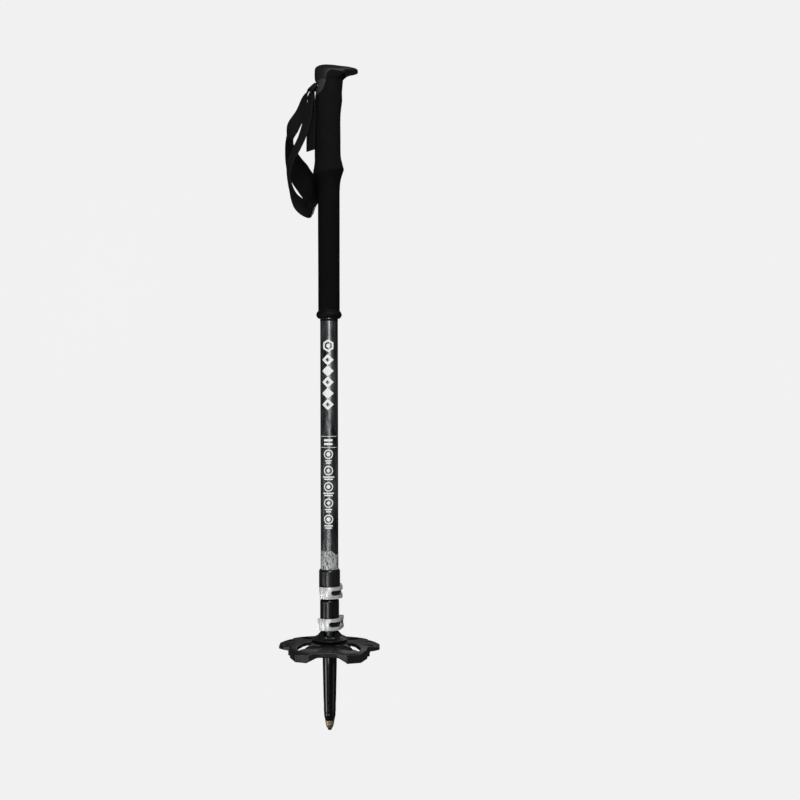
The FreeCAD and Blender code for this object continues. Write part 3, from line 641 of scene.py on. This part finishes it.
TAB_OUT = Vector((-math.cos(TAB_DOWN), 0, -math.sin(TAB_DOWN)))
HINGE = (-13.2, 654.0)


def strap_frames(stations, start, end=None):
    """(centre, along, across, width) down a run of stations."""
    rows = smooth_rows(stations, STRAP_STEPS)
    frames = []
    for index, row in enumerate(rows):
        before = Vector(rows[max(index - 1, 0)][:3])
        after = Vector(rows[min(index + 1, len(rows) - 1)][:3])
        along = (after - before).normalized()
        if index == 0:
            along = start
        if index == len(rows) - 1 and end is not None:
            along = end
        across = Vector(row[3:6])
        across = (across - along * across.dot(along)).normalized()
        frames.append((Vector(row[:3]), along, across, row[6]))
    return frames


def ribbon(name, frames, section, finish, stands_for):
    """A band whose closed section of (share of half width, offset) follows its frames."""
    rings = []
    for centre, along, across, width in frames:
        face = along.cross(across)
        rings.append([tuple(centre + across * (share * width / 2) + face * offset)
                      for share, offset in section])
    made = piece(name, *loft(rings), finish, "strap", stands_for, 50)
    measure_out(made, frames, section)
    return made


def run_along(frames):
    """Distance from the first frame to each one."""
    run = [0.0]
    for before, after in zip(frames, frames[1:]):
        run.append(run[-1] + (after[0] - before[0]).length)
    return run


def measure_out(made, frames, section):
    """UVs in millimetres: across the band, and along it."""
    run = run_along(frames)
    count = len(section)
    layer = made.data.uv_layers.new(name="run")
    for loop in made.data.loops:
        row, place = divmod(loop.vertex_index, count)
        layer.data[loop.index].uv = (section[place][0] * frames[row][3] / 2, run[row])


def flat_section(thick):
    """Section of plain webbing: flat, with rolled edges."""
    steps = 8
    top = [(-0.9 + 1.8 * i / steps, thick / 2) for i in range(steps + 1)]
    edge = [(0.975, 0.36 * thick), (1.0, 0.12 * thick), (1.0, -0.12 * thick), (0.975, -0.36 * thick)]
    below = [(x, -y) for x, y in reversed(top)]
    other = [(-x, y) for x, y in reversed(edge)]
    return top + edge + below + other


def pad_section(thick):
    """Section of the padded part: crowned between its stitched channels, with bound edges."""
    half = [(0.0, 0.5), (0.2, 0.49), (0.4, 0.46), (0.58, 0.41), (0.70, 0.33), (0.76, 0.22), (0.80, 0.20),
            (0.84, 0.24), (0.88, 0.27), (0.94, 0.27), (0.98, 0.18), (1.0, 0.05)]
    top = [(-x, y * thick) for x, y in reversed(half[1:])] + [(x, y * thick) for x, y in half]
    return top + [(x, -y) for x, y in reversed(top)]


def webbing_band(name, frames, node):
    """One length of webbing."""
    made = ribbon(name, frames, flat_section(WEBBING_THICK), "webbing", (node,))


def strap_tab():
    """The sewn end: webbing folded round the knuckle, as thick as three layers."""
    half, radius, reach = 6.0, 2.2, 5.0
    normal = Vector((-TAB_OUT.z, 0, TAB_OUT.x))
    steps = [(reach * 0.96, 1.0), (reach, 0.92), (reach, 0.42), (reach - 0.3, 0.34)]
    steps += [(along, -share) for along, share in reversed(steps)]
    outline = []
    for along, share in steps:
        step = TAB_OUT * along + normal * (share * radius)
        outline.append((HINGE[0] + step.x, HINGE[1] + step.z))
    start = math.degrees(math.atan2(-normal.z, -normal.x))
    outline += arc(HINGE, radius, start, start - 180, 14)
    made = piece("strap_sewn_tab", *slab(outline, half), "webbing", "strap", ("strap_tab",))
    soften(made, 0.25)
    box_map(made)


def box_map(made):
    """UVs in millimetres from the two axes that each face lies along."""
    layer = made.data.uv_layers.active or made.data.uv_layers.new(name="run")
    for face in made.data.polygons:
        drop = max(range(3), key=lambda axis: abs(face.normal[axis]))
        first, second = [axis for axis in range(3) if axis != drop]
        for index in face.loop_indices:
            point = made.data.vertices[made.data.loops[index].vertex_index].co
            layer.data[index].uv = (point[first] / MM, point[second] / MM)


def strap_root():
    """Webbing looped round the cross pin inside the grip."""
    low, high = node_box("strap_root")
    middle = (low[2] + high[2]) / 2
    eye, pin_r, half_thick = 2.5, 1.5, 2.1
    centre = (high[0] - eye, middle)
    start = math.degrees(math.asin(half_thick / eye))
    wrap = arc(centre, eye, start - 180, 180 - start, 20)
    outline = [(low[0], middle - half_thick), *wrap, (low[0], middle + half_thick)]
    made = piece("strap_root_loop", *slab(outline, 6.0), "webbing", "upper_section", ("strap_root",))
    carve(made, slab(circle(centre, pin_r), 8.0))
    soften(made, 0.2)
    box_map(made)


def strap_tag(frame_at):
    """Small woven tag, sewn on the outside of the low fold."""
    centre, along, across, _ = frame_at
    face = across.cross(along)
    middle = centre + face * 1.2 + along * 2.5
    outline = rounded([(-2.5, -4.5), (2.5, -4.5), (2.5, 4.5), (-2.5, 4.5)], 0.5)
    rings = [[tuple(middle + along * u + across * v + face * lift) for u, v in outline]
             for lift in (-0.25, 0.25)]
    made = piece("strap_side_tag", *loft(rings), "label_fabric", "strap", ("strap_label",))
    soften(made, 0.12, segments=2)
    box_map(made)


def strap():
    frames = strap_frames(LOOP, TAB_OUT, -TAB_OUT)
    pad_from, pad_to = PAD_START * STRAP_STEPS, PAD_END * STRAP_STEPS
    strap_tab()
    strap_root()
    webbing_band("strap_rear_band", frames[:pad_from + 1], "strap_webbing_rear")
    padded = frames[pad_from:pad_to + 1]
    pad = ribbon("strap_padding", padded, pad_section(PAD_THICK), "pad_fabric", ("strap_pad",))
    webbing_band("strap_front_band", frames[pad_to:], "strap_webbing_front")
    webbing_band("strap_loose_tail", strap_frames(TAIL, TAB_OUT), "strap_tail")
    strap_tag(frames[TAG_STATION * STRAP_STEPS])


# ---- locks

LOCKS = {
    "upper": {"turn": -3.0, "flare": 20.0, "flange": 4.2, "finish": "collar_plastic",
              "collar_body": "upper_section", "bore_of": "upper_tube"},
    "lower": {"turn": -15.0, "flare": 12.0, "flange": 4.6, "finish": "collar_gloss",
              "collar_body": "middle_section", "bore_of": "middle_tube"},
}
# the tension screw and the lever's barrel, the lugs and their slit, and the relief cut with its bridge
SCREW_OUT, SCREW_HOLE_R = 2.3, 1.6
BARREL_X, BARREL_R = 8.05, 2.5
LUG_LOW, LUG_TALL, LUG_THICK, LUG_REACH, SLIT_HALF = 0.3, 11.4, 2.8, 3.2, 1.0
RELIEF_LOW, RELIEF_GAP, RELIEF_BRIDGE = 13.0, 0.6, 50.0


def collar(side):
    """Slit collar with rounded shoulders, lugs at the back and its relief cut."""
    lock = LOCKS[side]
    node = f"{side}_lock_collar"
    low, tall = node_low(node), node_high(node) - node_low(node)
    radius, bore = node_radius(node), node_radius(lock["bore_of"])
    profile = rounded([
        (bore, 0, 0.2), (radius - 0.1, 0, 0.4), (radius, 6, 0.2), (radius, tall - 1.9, 1.2),
        (radius - 0.35, tall - 0.75, 0.8), (radius - 1.1, tall, 0.5), (bore, tall, 0.2)], 0.3)
    made = piece(f"{side}_collar_shell", *lathe(profile, 128), lock["finish"], None)
    ys = radius + SCREW_OUT
    for start in (SLIT_HALF, -SLIT_HALF - LUG_THICK):
        corners = [(start, bore + 0.8), (start + LUG_THICK, bore + 0.8),
                   (start + LUG_THICK, ys + LUG_REACH), (start, ys + LUG_REACH)]
        carve(made, prism(rounded(corners, 0.8), LUG_LOW, LUG_LOW + LUG_TALL), "UNION")
    carve(made, block((-SLIT_HALF, 0, -1), (SLIT_HALF, radius + 12, RELIEF_LOW + RELIEF_GAP)))
    wedge = arc((0, 0), radius + 3, RELIEF_BRIDGE / 2 - 90, 270 - RELIEF_BRIDGE / 2, 60)
    carve(made, prism([*wedge, (0, 0)], RELIEF_LOW, RELIEF_LOW + RELIEF_GAP))
    hole = circle((ys, LUG_LOW + LUG_TALL / 2), SCREW_HOLE_R)
    carve(made, loft([[(x, y, z) for y, z in hole] for x in (-15, 15)]))
    soften(made, 0.18, 40, 2)
    spin(made, lock["turn"], low)
    finished(made, lock["finish"], lock["collar_body"], (node,))


def spin(made, degrees, lift):
    """Turns a mesh about Z, in degrees, and raises it."""
    rise = Matrix.Translation((0, 0, lift * MM))
    made.data.transform(rise @ Matrix.Rotation(math.radians(degrees), 4, "Z"))


def lean(made, degrees, height):
    """Tips a mesh about Y at a height, lower on the +X side."""
    pivot = Matrix.Translation((0, 0, height * MM))
    made.data.transform(pivot @ Matrix.Rotation(math.radians(degrees), 4, "Y") @ pivot.inverted())


def lever_outline(radius, flare, flange):
    """Plan of a lever: eye, front band and bent thumb end with its crease."""
    inner, outer = radius + 0.5, radius + 2.5
    eye = (BARREL_X - 0.3, radius + SCREW_OUT)
    end, foot = 57.0, -116.0
    band_out = arc((0, 0), outer, foot + 4, 15, 44)
    eye_arc = arc(eye, 3.3, -8, 245, 26)
    band_in = arc((0, 0), inner, end, foot, 48)
    out = Vector((-math.cos(math.radians(flare)), math.sin(math.radians(flare))))
    square = Vector((-out.y, out.x))
    heel = Vector(band_in[-1])
    toe = heel + out * flange
    thick = outer - inner
    thumb = [toe, toe + square * 0.3 * thick + out * 0.25,
             toe + square * 0.75 * thick + out * 0.2, toe + square * thick,
             heel + out * 1.1 + square * thick, heel + out * 0.3 + square * (thick - 0.42)]
    return band_out + eye_arc + band_in + [tuple(point) for point in thumb]


def lever(side):
    """Forked cam lever with a rounded slot, satin faces and softened edges."""
    lock = LOCKS[side]
    node = f"{side}_lever"
    low, tall = node_low(node), node_high(node) - node_low(node)
    radius = node_radius(f"{side}_lock_collar")
    outline = lever_outline(radius, lock["flare"], lock["flange"])
    made = piece(f"{side}_lever_arm", *prism(outline, 0, tall), "lever_metal", None)
    middle, half, slot_x = tall / 2, 2.5, 5.6
    bite = [(30, middle - half), (30, middle + half), *arc((slot_x, middle), half, 90, 270, 14)]
    carve(made, slab(bite, 22))
    behind = [(3.5, radius - 2), (30, radius - 2), (30, 30), (3.5, 30)]
    carve(made, prism(behind, middle - half, middle + half))
    carve(made, prism(circle((BARREL_X, radius + SCREW_OUT), BARREL_R + 0.05), -5, 30))
    soften(made, 0.45, 38, 3)
    spin(made, lock["turn"], low)
    finished(made, "lever_metal", f"{side}_lever", (node,))


# ---- basket

# one quarter of the disc's plan with its corner roundings, and one leaf-shaped opening
DISC_CORNERS = [
    (50.9, 7.5, 2.5), (45.5, 13.5, 3), (38.5, 17, 4), (38.6, 25, 4), (32.6, 38.2, 2.5), (19, 41.5, 4),
    (9, 39.5, 6),
]
LEAF = [(18.5, 5.5, 3), (25.8, 9.8, 3), (31.5, 22, 6), (31, 32, 2), (24, 27.5, 4), (18.3, 14.5, 5)]
SCALLOP_Z, SIDE_Z, SKIRT_Z = 83.4, 83.2, 82.0
HUB_RISE = 8.0
DROOP, DROOP_FROM, DROOP_AT = 2.0, 10.0, 41.5
BASKET_TURN, BASKET_LEAN = 1.5, 1.2
RIM_INSET, DISC_SEGMENTS = 0.055, 160
PIP_R, PIP_OUT, PIP_HALF_GAP = 1.1, 9.6, 3.0
# dips in the disc: place, aim in degrees, half length, half width, depth, and drop below the top
DIPS = [((15.5, 25.5), 33, 11.5, 5.0, 3.4, 1.6), ((41.5, 9.0), 22, 6.5, 2.9, 2.5, 3.0)]


def quarters(corners):
    """The same corners in all four quarters of the plan."""
    return [[(x * right, y * back, *size) for x, y, *size in corners]
            for right, back in ((1, 1), (-1, 1), (-1, -1), (1, -1))]


def disc_plan(inset=0.0):
    """Plan of the basket, drawn in by a share of its size."""
    first, second, third, fourth = quarters(DISC_CORNERS)
    corners = first + second[::-1] + third + fourth[::-1]
    return rounded([(x * (1 - inset), y * (1 - inset), size) for x, y, size in corners], 3)


def ellipsoid(long, wide, deep, rows, count):
    """Points and faces of an ellipsoid that lies along X."""
    rings = []
    for row in range(1, rows):
        slope = math.pi * row / rows
        size, along = math.sin(slope), -math.cos(slope)
        rings.append([(along * long, wide * size * math.cos(a), deep * size * math.sin(a))
                      for a in angles(count)])
    return loft(rings)


def dish(centre, aim, long, wide, deep, up):
    """A boat-shaped dip that lies along an aim in degrees."""
    points, faces = turned(ellipsoid(long, wide, deep, 12, 24), aim)
    return [(x + centre[0], y + centre[1], z + up) for x, y, z in points], faces


def basket_disc():
    """Moulded umbrella: thin shell, scalloped rim wall, leaf openings, dips and a skirt."""
    top, low = node_high("basket_hub") - HUB_RISE, node_low("basket_disc") + DROOP
    dome = [(9, low), (60, low), (60, top - 9), (52, top - 6.2), (48, top - 4.9), (44, top - 3.9),
            (38, top - 3.1), (30, top - 2.5), (20.0, top - 1.7), (9, top - 1.5)]
    made = piece("basket_form", *lathe(dome, DISC_SEGMENTS), "basket_plastic", None)
    carve(made, prism(disc_plan(), low - 5, top + 5), "INTERSECT")
    for leaf in quarters(LEAF):
        carve(made, prism(rounded(leaf, 3, 6), low - 5, top + 5))
    arch = [(-22, 60), (19.5, 60), (19.5, low), (10, SCALLOP_Z), (-11, SCALLOP_Z), (-22, low)]
    arch = [(*corner, 0 if index < 2 else 5) for index, corner in enumerate(arch)]
    carve(made, slab(rounded(arch, 5), 60))
    for side in (0, 180):
        carve(made, turned(block((40.9, -30, low - 9), (60, 30, SIDE_Z)), side))
    for right, back in ((1, 1), (1, -1), (-1, 1), (-1, -1)):
        for (x, y), aim, long, wide, deep, drop in DIPS:
            place = (x * right, y * back)
            carve(made, dish(place, aim * right * back, long, wide, deep, top - drop))
    under = [(21.4, low - 9), (60, low - 9), (60, top - 12), (44, top - 7.5), (30, top - 6.2),
             (21.4, top - 5.2)]
    hollow = piece("basket_hollow", *lathe(under, DISC_SEGMENTS), "basket_plastic", None)
    carve(hollow, prism(disc_plan(RIM_INSET), low - 15, top + 5), "INTERSECT")
    carve(made, hollow)
    core = [(3, low - 5), (23, low - 5), (23, SKIRT_Z), (19.6, SKIRT_Z), (19.6, top - 3.6), (3, top - 3.6)]
    carve(made, lathe(core, DISC_SEGMENTS))
    remeshed(made, 0.55, 2, 70)
    droop(made)
    spin(made, BASKET_TURN, 0)
    lean(made, BASKET_LEAN, top - 4)
    made.name = "basket_umbrella"
    finished(made, "basket_plastic", "basket", ("basket_disc",), 60)


def droop(made):
    """Bends the disc down towards its front and back."""
    for vertex in made.data.vertices:
        reach = max(abs(vertex.co.y) / MM - DROOP_FROM, 0) / (DROOP_AT - DROOP_FROM)
        vertex.co.z -= DROOP * MM * reach ** 2


def basket_hub():
    """Turned hub: a flange that stands off the disc, and a cone cut open front and back."""
    low, high = node_low("basket_hub"), node_high("basket_hub")
    top = high - HUB_RISE
    bore, opening = 7.25, 5.6
    profile = rounded([
        (bore, low, 0.3), (8.9, low, 0.5), (8.9, top + 0.1, 0.2), (18.2, top + 0.1, 0.2),
        (18.8, top + 0.8, 0.4), (12.6, top + 4.0, 2), (9.2, high, 0.5), (bore + 0.9, high, 0.4),
        (bore, top + 3.0, 0.2)], 0.4)
    made = piece("basket_hub_cone", *lathe(profile), "basket_plastic", None)
    for turn in (90, -90):
        for inner, up in ((9.4, 2.2), (5.0, 4.4)):
            carve(made, turned(block((inner, -opening, top + up), (17.0, opening, top + 9)), turn))
    for turn in (0, 45, 135, 180, 225, 315):
        carve(made, turned(block((11.4, -1.0, top + 1.8), (15.5, 1.0, top + 9)), turn))
    soften(made, 0.15, 40, 2)
    spin(made, BASKET_TURN, 0)
    finished(made, "basket_plastic", "basket", ("basket_hub",), 40)
    hub_pips(top)


def hub_pips(top):
    """Two small steel pips in the hub's opening at the front, and two at the back."""
    points, faces = [], []
    for turn in (90, -90):
        for across in (-PIP_HALF_GAP, PIP_HALF_GAP):
            pip, skin = ellipsoid(PIP_R, PIP_R, PIP_R, 8, 12)
            pip = [(y + PIP_OUT, z + across, x) for x, y, z in pip]
            faces += [tuple(corner + len(points) for corner in face) for face in skin]
            points += turned((pip, skin), turn, top + 3.1)[0]
    piece("basket_hub_pips", points, faces, "steel_hardware", "basket")


# ---- tip

def tip():
    """Gloss ferrule, crowned bronze holder and carbide point."""
    seat_low, seat_high, seat_r = 19.5, 27.0, 6.1
    tube_low = node_low("lower_tube")
    holder_low, holder_top = node_low("tip_holder"), node_low("tip_ferrule")
    radius = node_radius("tip_ferrule")
    profile = rounded([
        (2.5, 10.0, 0), (4.8, 10.0, 0.3), (5.9, 15.5, 1.0), (seat_r - 0.3, 17.5, 0.5),
        (seat_r, seat_low, 0.2), (seat_r, seat_high, 0.3), (6.35, 30.0, 0.8),
        (radius, 68.0, 6.0), (radius, tube_low, 0.3),
        (6.15, tube_low, 0), (6.15, 124.0, 0.3), (5.2, 125.0, 0.3), (2.5, 125.0, 0)], 0.3)
    piece("tip_ferrule_body", *lathe(profile), "ferrule_plastic", "lower_section", ("tip_ferrule",), 40)
    profile = rounded([
        (1.4, holder_low, 0), (2.9, holder_low, 0.3), (4.1, 5.4, 0.6), (4.75, holder_top - 0.1, 0.3),
        (2.5, holder_top - 0.1, 0), (2.5, 24.0, 0), (1.4, 24.0, 0)], 0.2, 4)
    holder = piece("tip_holder_crown", *lathe(profile), "holder_metal", None)
    for index in range(8):
        flat = block((4.2, -2.2, holder_low - 1), (8, 2.2, 7.6))
        carve(holder, turned(flat, 45 * index))
    soften(holder, 0.12, 30, 2)
    finished(holder, "holder_metal", "lower_section", ("tip_holder",), 30)
    profile = rounded([
        (0.35, 0.7, 0.2), (0.9, 0.35, 0.2), (1.7, 0.0, 0.15), (2.1, 0.5, 0.2), (2.1, holder_low, 0.1),
        (1.4, holder_low, 0), (1.4, 8.5, 0.2), (0.35, 8.5, 0)], 0.1, 4)
    piece("tip_carbide_point", *lathe(profile, 48), "carbide", "lower_section", ("carbide_tip",), 40)


# ---- print on the shaft

class Print:
    """Flat shapes wrapped on a tube, gathered into one thin shell."""

    def __init__(self, radius, turn=0.0, lift=0.05):
        self.radius, self.turn, self.lift = radius, math.radians(turn), lift
        self.points, self.faces = [], []

    def wrap(self, across, up, out):
        """A point on the tube, across from the side that faces the camera."""
        angle = across / self.radius + self.turn
        reach = self.radius + out
        return (reach * math.sin(angle), -reach * math.cos(angle), up)

    def grid(self, rows, closed=False):
        """A thin shell over a grid of (across, up) rows."""
        start, width = len(self.points), len(rows[0])
        for out in (0.005, self.lift):
            self.points += [self.wrap(across, up, out) for row in rows for across, up in row]
        size = len(rows) * width

        def quad(*corners):
            self.faces.append(tuple(start + layer * size + row * width + place % width
                                    for row, place, layer in corners))

        last = width if closed else width - 1
        for row in range(len(rows) - 1):
            for place in range(last):
                for layer in (0, 1):
                    quad((row, place, layer), (row, place + 1, layer),
                         (row + 1, place + 1, layer), (row + 1, place, layer))
        for row in (0, len(rows) - 1):
            for place in range(last):
                quad((row, place, 0), (row, place + 1, 0), (row, place + 1, 1), (row, place, 1))
        for place in () if closed else (0, width - 1):
            for row in range(len(rows) - 1):
                quad((row, place, 0), (row + 1, place, 0), (row + 1, place, 1), (row, place, 1))

    def bar(self, left, right, low, high):
        steps = max(2, int((right - left) / 0.8))
        places = [left + (right - left) * i / steps for i in range(steps + 1)]
        self.grid([[(across, up) for across in places] for up in (low, high)])

    def loop(self, across, up, inner, outer, sides=0, tall=1.0):
        """A ring, or with a number of sides a polygon's frame, point up."""
        rows = []
        bands = max(2, round((outer - inner) / 0.8))
        for band in range(bands + 1):
            reach = inner + (outer - inner) * band / bands
            row = []
            for angle in angles(48):
                size = reach
                if sides:
                    part = 2 * math.pi / sides
                    size *= math.cos(part / 2) / math.cos((angle % part) - part / 2)
                row.append((across + size * math.sin(angle), up + tall * size * math.cos(angle)))
            rows.append(row)
        self.grid(rows, True)

    def made(self, name, finish, body):
        return piece(name, self.points, self.faces, finish, body, crease=30,
                     slot="upper_shaft" if body == "upper_section" else "lower_shaft")


def upper_print():
    """Plain pattern on the upper shaft: a hexagon, diamonds, rules, and ringed shapes over bars."""
    radius = node_radius("upper_tube")
    sheet = Print(radius, -2.5)
    sheet.loop(0, 390.0, 4.2, 6.3, 6)
    sheet.loop(0, 390.0, 0.1, 2.2, 6)
    for row in range(5):
        up = 330.6 + 11.3 * row
        hollow = 0.1 if row % 2 else 2.4
        sheet.loop(-0.5, up, hollow, 6.2, 4, 0.92)
    for up in (287.0, 298.2):
        sheet.bar(-9.5, 9.5, up, up + 0.45)
    sheet.bar(-4.6, 4.2, 293.4, 295.6)
    sheet.bar(-4.6, 4.2, 289.6, 291.8)
    for row, (sides, wide) in enumerate([(0, 3.2), (4, 6.0), (6, 5.6), (4, 3.6), (0, 4.4)]):
        up = 280.3 - 16.4 * row
        sheet.loop(0, up, 3.7, 4.75)
        sheet.loop(0, up, 0.05, 2.1, sides)
        sheet.bar(-wide, wide, up - 7.2, up - 5.9)
        sheet.bar(-wide * 0.75, wide * 0.75, up - 9.4, up - 8.1)
    sheet.made("shaft_pattern", "shaft_print", "upper_section")
    ring = Print(radius, 0, 0.06)
    ring.grid([[(radius * angle, up) for angle in angles(96)] for up in (415.2, 417.2)], True)
    ring.made("shaft_dark_line", "end_ring_rubber", "upper_section")


def wave_band():
    """Silver band above the upper lock, with an uneven top edge."""
    radius = node_radius("upper_tube")
    low = node_high("upper_lock_collar")
    band = Print(radius, 0, 0.06)
    tall, steps = 17.4, 5
    dice = random.Random(7)
    rows = [[] for _ in range(steps + 1)]
    for turn in angles(192):
        wave = 2.0 * math.sin(turn * 2 + 2.2) + 1.0 * math.sin(turn * 5 + 0.4)
        rise = tall + wave + dice.uniform(-0.5, 0.5)
        for step, row in enumerate(rows):
            row.append((radius * turn, low + 0.02 + rise * step / steps))
    band.grid(rows, True)
    band.made("shaft_wave_band", "wave_band", "upper_section")


def scale_marks(name, node, body, low, high):
    """Length marks down a sliding tube: a long tick each 50 mm and a short one each 10 mm."""
    marks = Print(node_radius(node), 0, 0.04)
    for index, up in enumerate(range(int(low), int(high), 10)):
        half = 4.0 if index % 5 == 0 else 1.8
        marks.bar(-half, half, up, up + 0.6)
    marks.made(name, "scale_print", body)


# ---- frame finishes and stage

def dress_frame():
    """Gives every CAD node that stays its own procedural material."""
    wanted = {
        "upper_tube": "upper_shaft", "middle_tube": "lower_shaft", "lower_tube": "lower_shaft",
        "upper_tube_plug": "inner_plastic", "middle_guide": "inner_plastic",
        "lower_guide": "inner_plastic", "strap_anchor_pin": "steel_hardware",
    }
    for side in LOCKS:
        wanted[f"{side}_lock_bush"] = "inner_plastic"
        wanted[f"{side}_lock_screw"] = "steel_hardware"
        wanted[f"{side}_lock_barrel"] = "steel_hardware"
        wanted[f"{side}_lock_saddle"] = "saddle_steel"
    for name, finish in wanted.items():
        coat(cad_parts[name], finish, 30)


def backdrop():
    """A wide pale bowl, well below the pole at full extension."""
    floor, wide, tall = -850.0, 4200.0, 5200.0
    profile = [(1.0, floor), (wide - 1500, floor), (wide - 700, floor + 250), (wide - 150, floor + 900),
               (wide, floor + 2000), (wide, tall)]
    paper = Finish("pale_paper", grey(0.02), 0.9, specular=0.0)
    tone = paper.noise((0.6, 0.6, 0.6), 2)
    pale = paper.ramp(tone, 0.0, 1.0, grey(0.872), grey(0.884))
    paper.link(pale, paper.shader.inputs["Emission Color"])
    paper.set("Emission Strength", 1.0)
    FINISHES["paper"] = paper
    bowl = piece("studio_bowl", *lathe(profile, 64, closed=False), "paper", None)
    bowl.visible_diffuse = False
    bowl.visible_glossy = False
    bowl.visible_shadow = False


def softbox(name, azimuth, distance, width, low, high, radiance):
    """An upright area light at an azimuth from the camera's side, facing the pole's middle."""
    light = bpy.data.lights.new(name, "AREA")
    light.shape = "RECTANGLE"
    light.size, light.size_y = width, high - low
    light.energy = radiance * math.pi * width * (high - low)
    made = bpy.data.objects.new(name, light)
    turn = math.radians(azimuth)
    made.location = (distance * math.sin(turn), -distance * math.cos(turn), (low + high) / 2)
    made.rotation_euler = (math.radians(90), 0, turn)
    made.visible_camera = False
    bpy.context.scene.collection.objects.link(made)


def lighting():
    """Faint daylight, boxes for the shaft, collars, basket and tip, and fill from behind."""
    world = bpy.data.worlds.new("studio")
    world.use_nodes = True
    sky = world.node_tree.nodes["Background"]
    sky.inputs["Color"].default_value = (*grey(1.0), 1.0)
    sky.inputs["Strength"].default_value = 0.065
    bpy.context.scene.world = world
    softbox("high_shaft_box", 5, 1.7, 0.34, 0.42, 2.0, 6.8)
    softbox("low_shaft_box", 5, 1.7, 0.34, 0.04, 0.40, 2.4)
    softbox("collar_box", -20, 1.3, 0.46, -0.21, -0.04, 7.0)
    softbox("left_tip_box", -66, 1.3, 0.5, -0.66, -0.15, 4.6)
    softbox("right_tip_box", 70, 1.3, 0.5, -0.66, -0.28, 0.6)
    softbox("basket_box", 20, 1.6, 0.8, 1.2, 2.0, 6.0)
    softbox("back_box", 172, 2.0, 1.2, 1.1, 2.0, 1.2)


def camera():
    """A 50 mm lens a little right of the shaft, at half the pole's height, looking level."""
    lens = bpy.data.cameras.new("view")
    lens.lens, lens.sensor_width = 50.0, 36.0
    made = bpy.data.objects.new("view", lens)
    made.location = (0.072, -1.13, 0.335)
    made.rotation_euler = (math.radians(90), math.radians(0.12), 0)
    bpy.context.scene.collection.objects.link(made)
    bpy.context.scene.camera = made


camera()
lighting()
backdrop()
dress_frame()
grip()
grip_extension()
end_ring()
strap()
for side in LOCKS:
    collar(side)
    lever(side)
basket_disc()
basket_hub()
tip()
upper_print()
wave_band()
scale_marks("middle_scale_marks", "middle_tube", "middle_section", 180, 560)
scale_marks("lower_scale_marks", "lower_tube", "lower_section", 180, 540)
bpy.context.scene.view_settings.view_transform = "Standard"
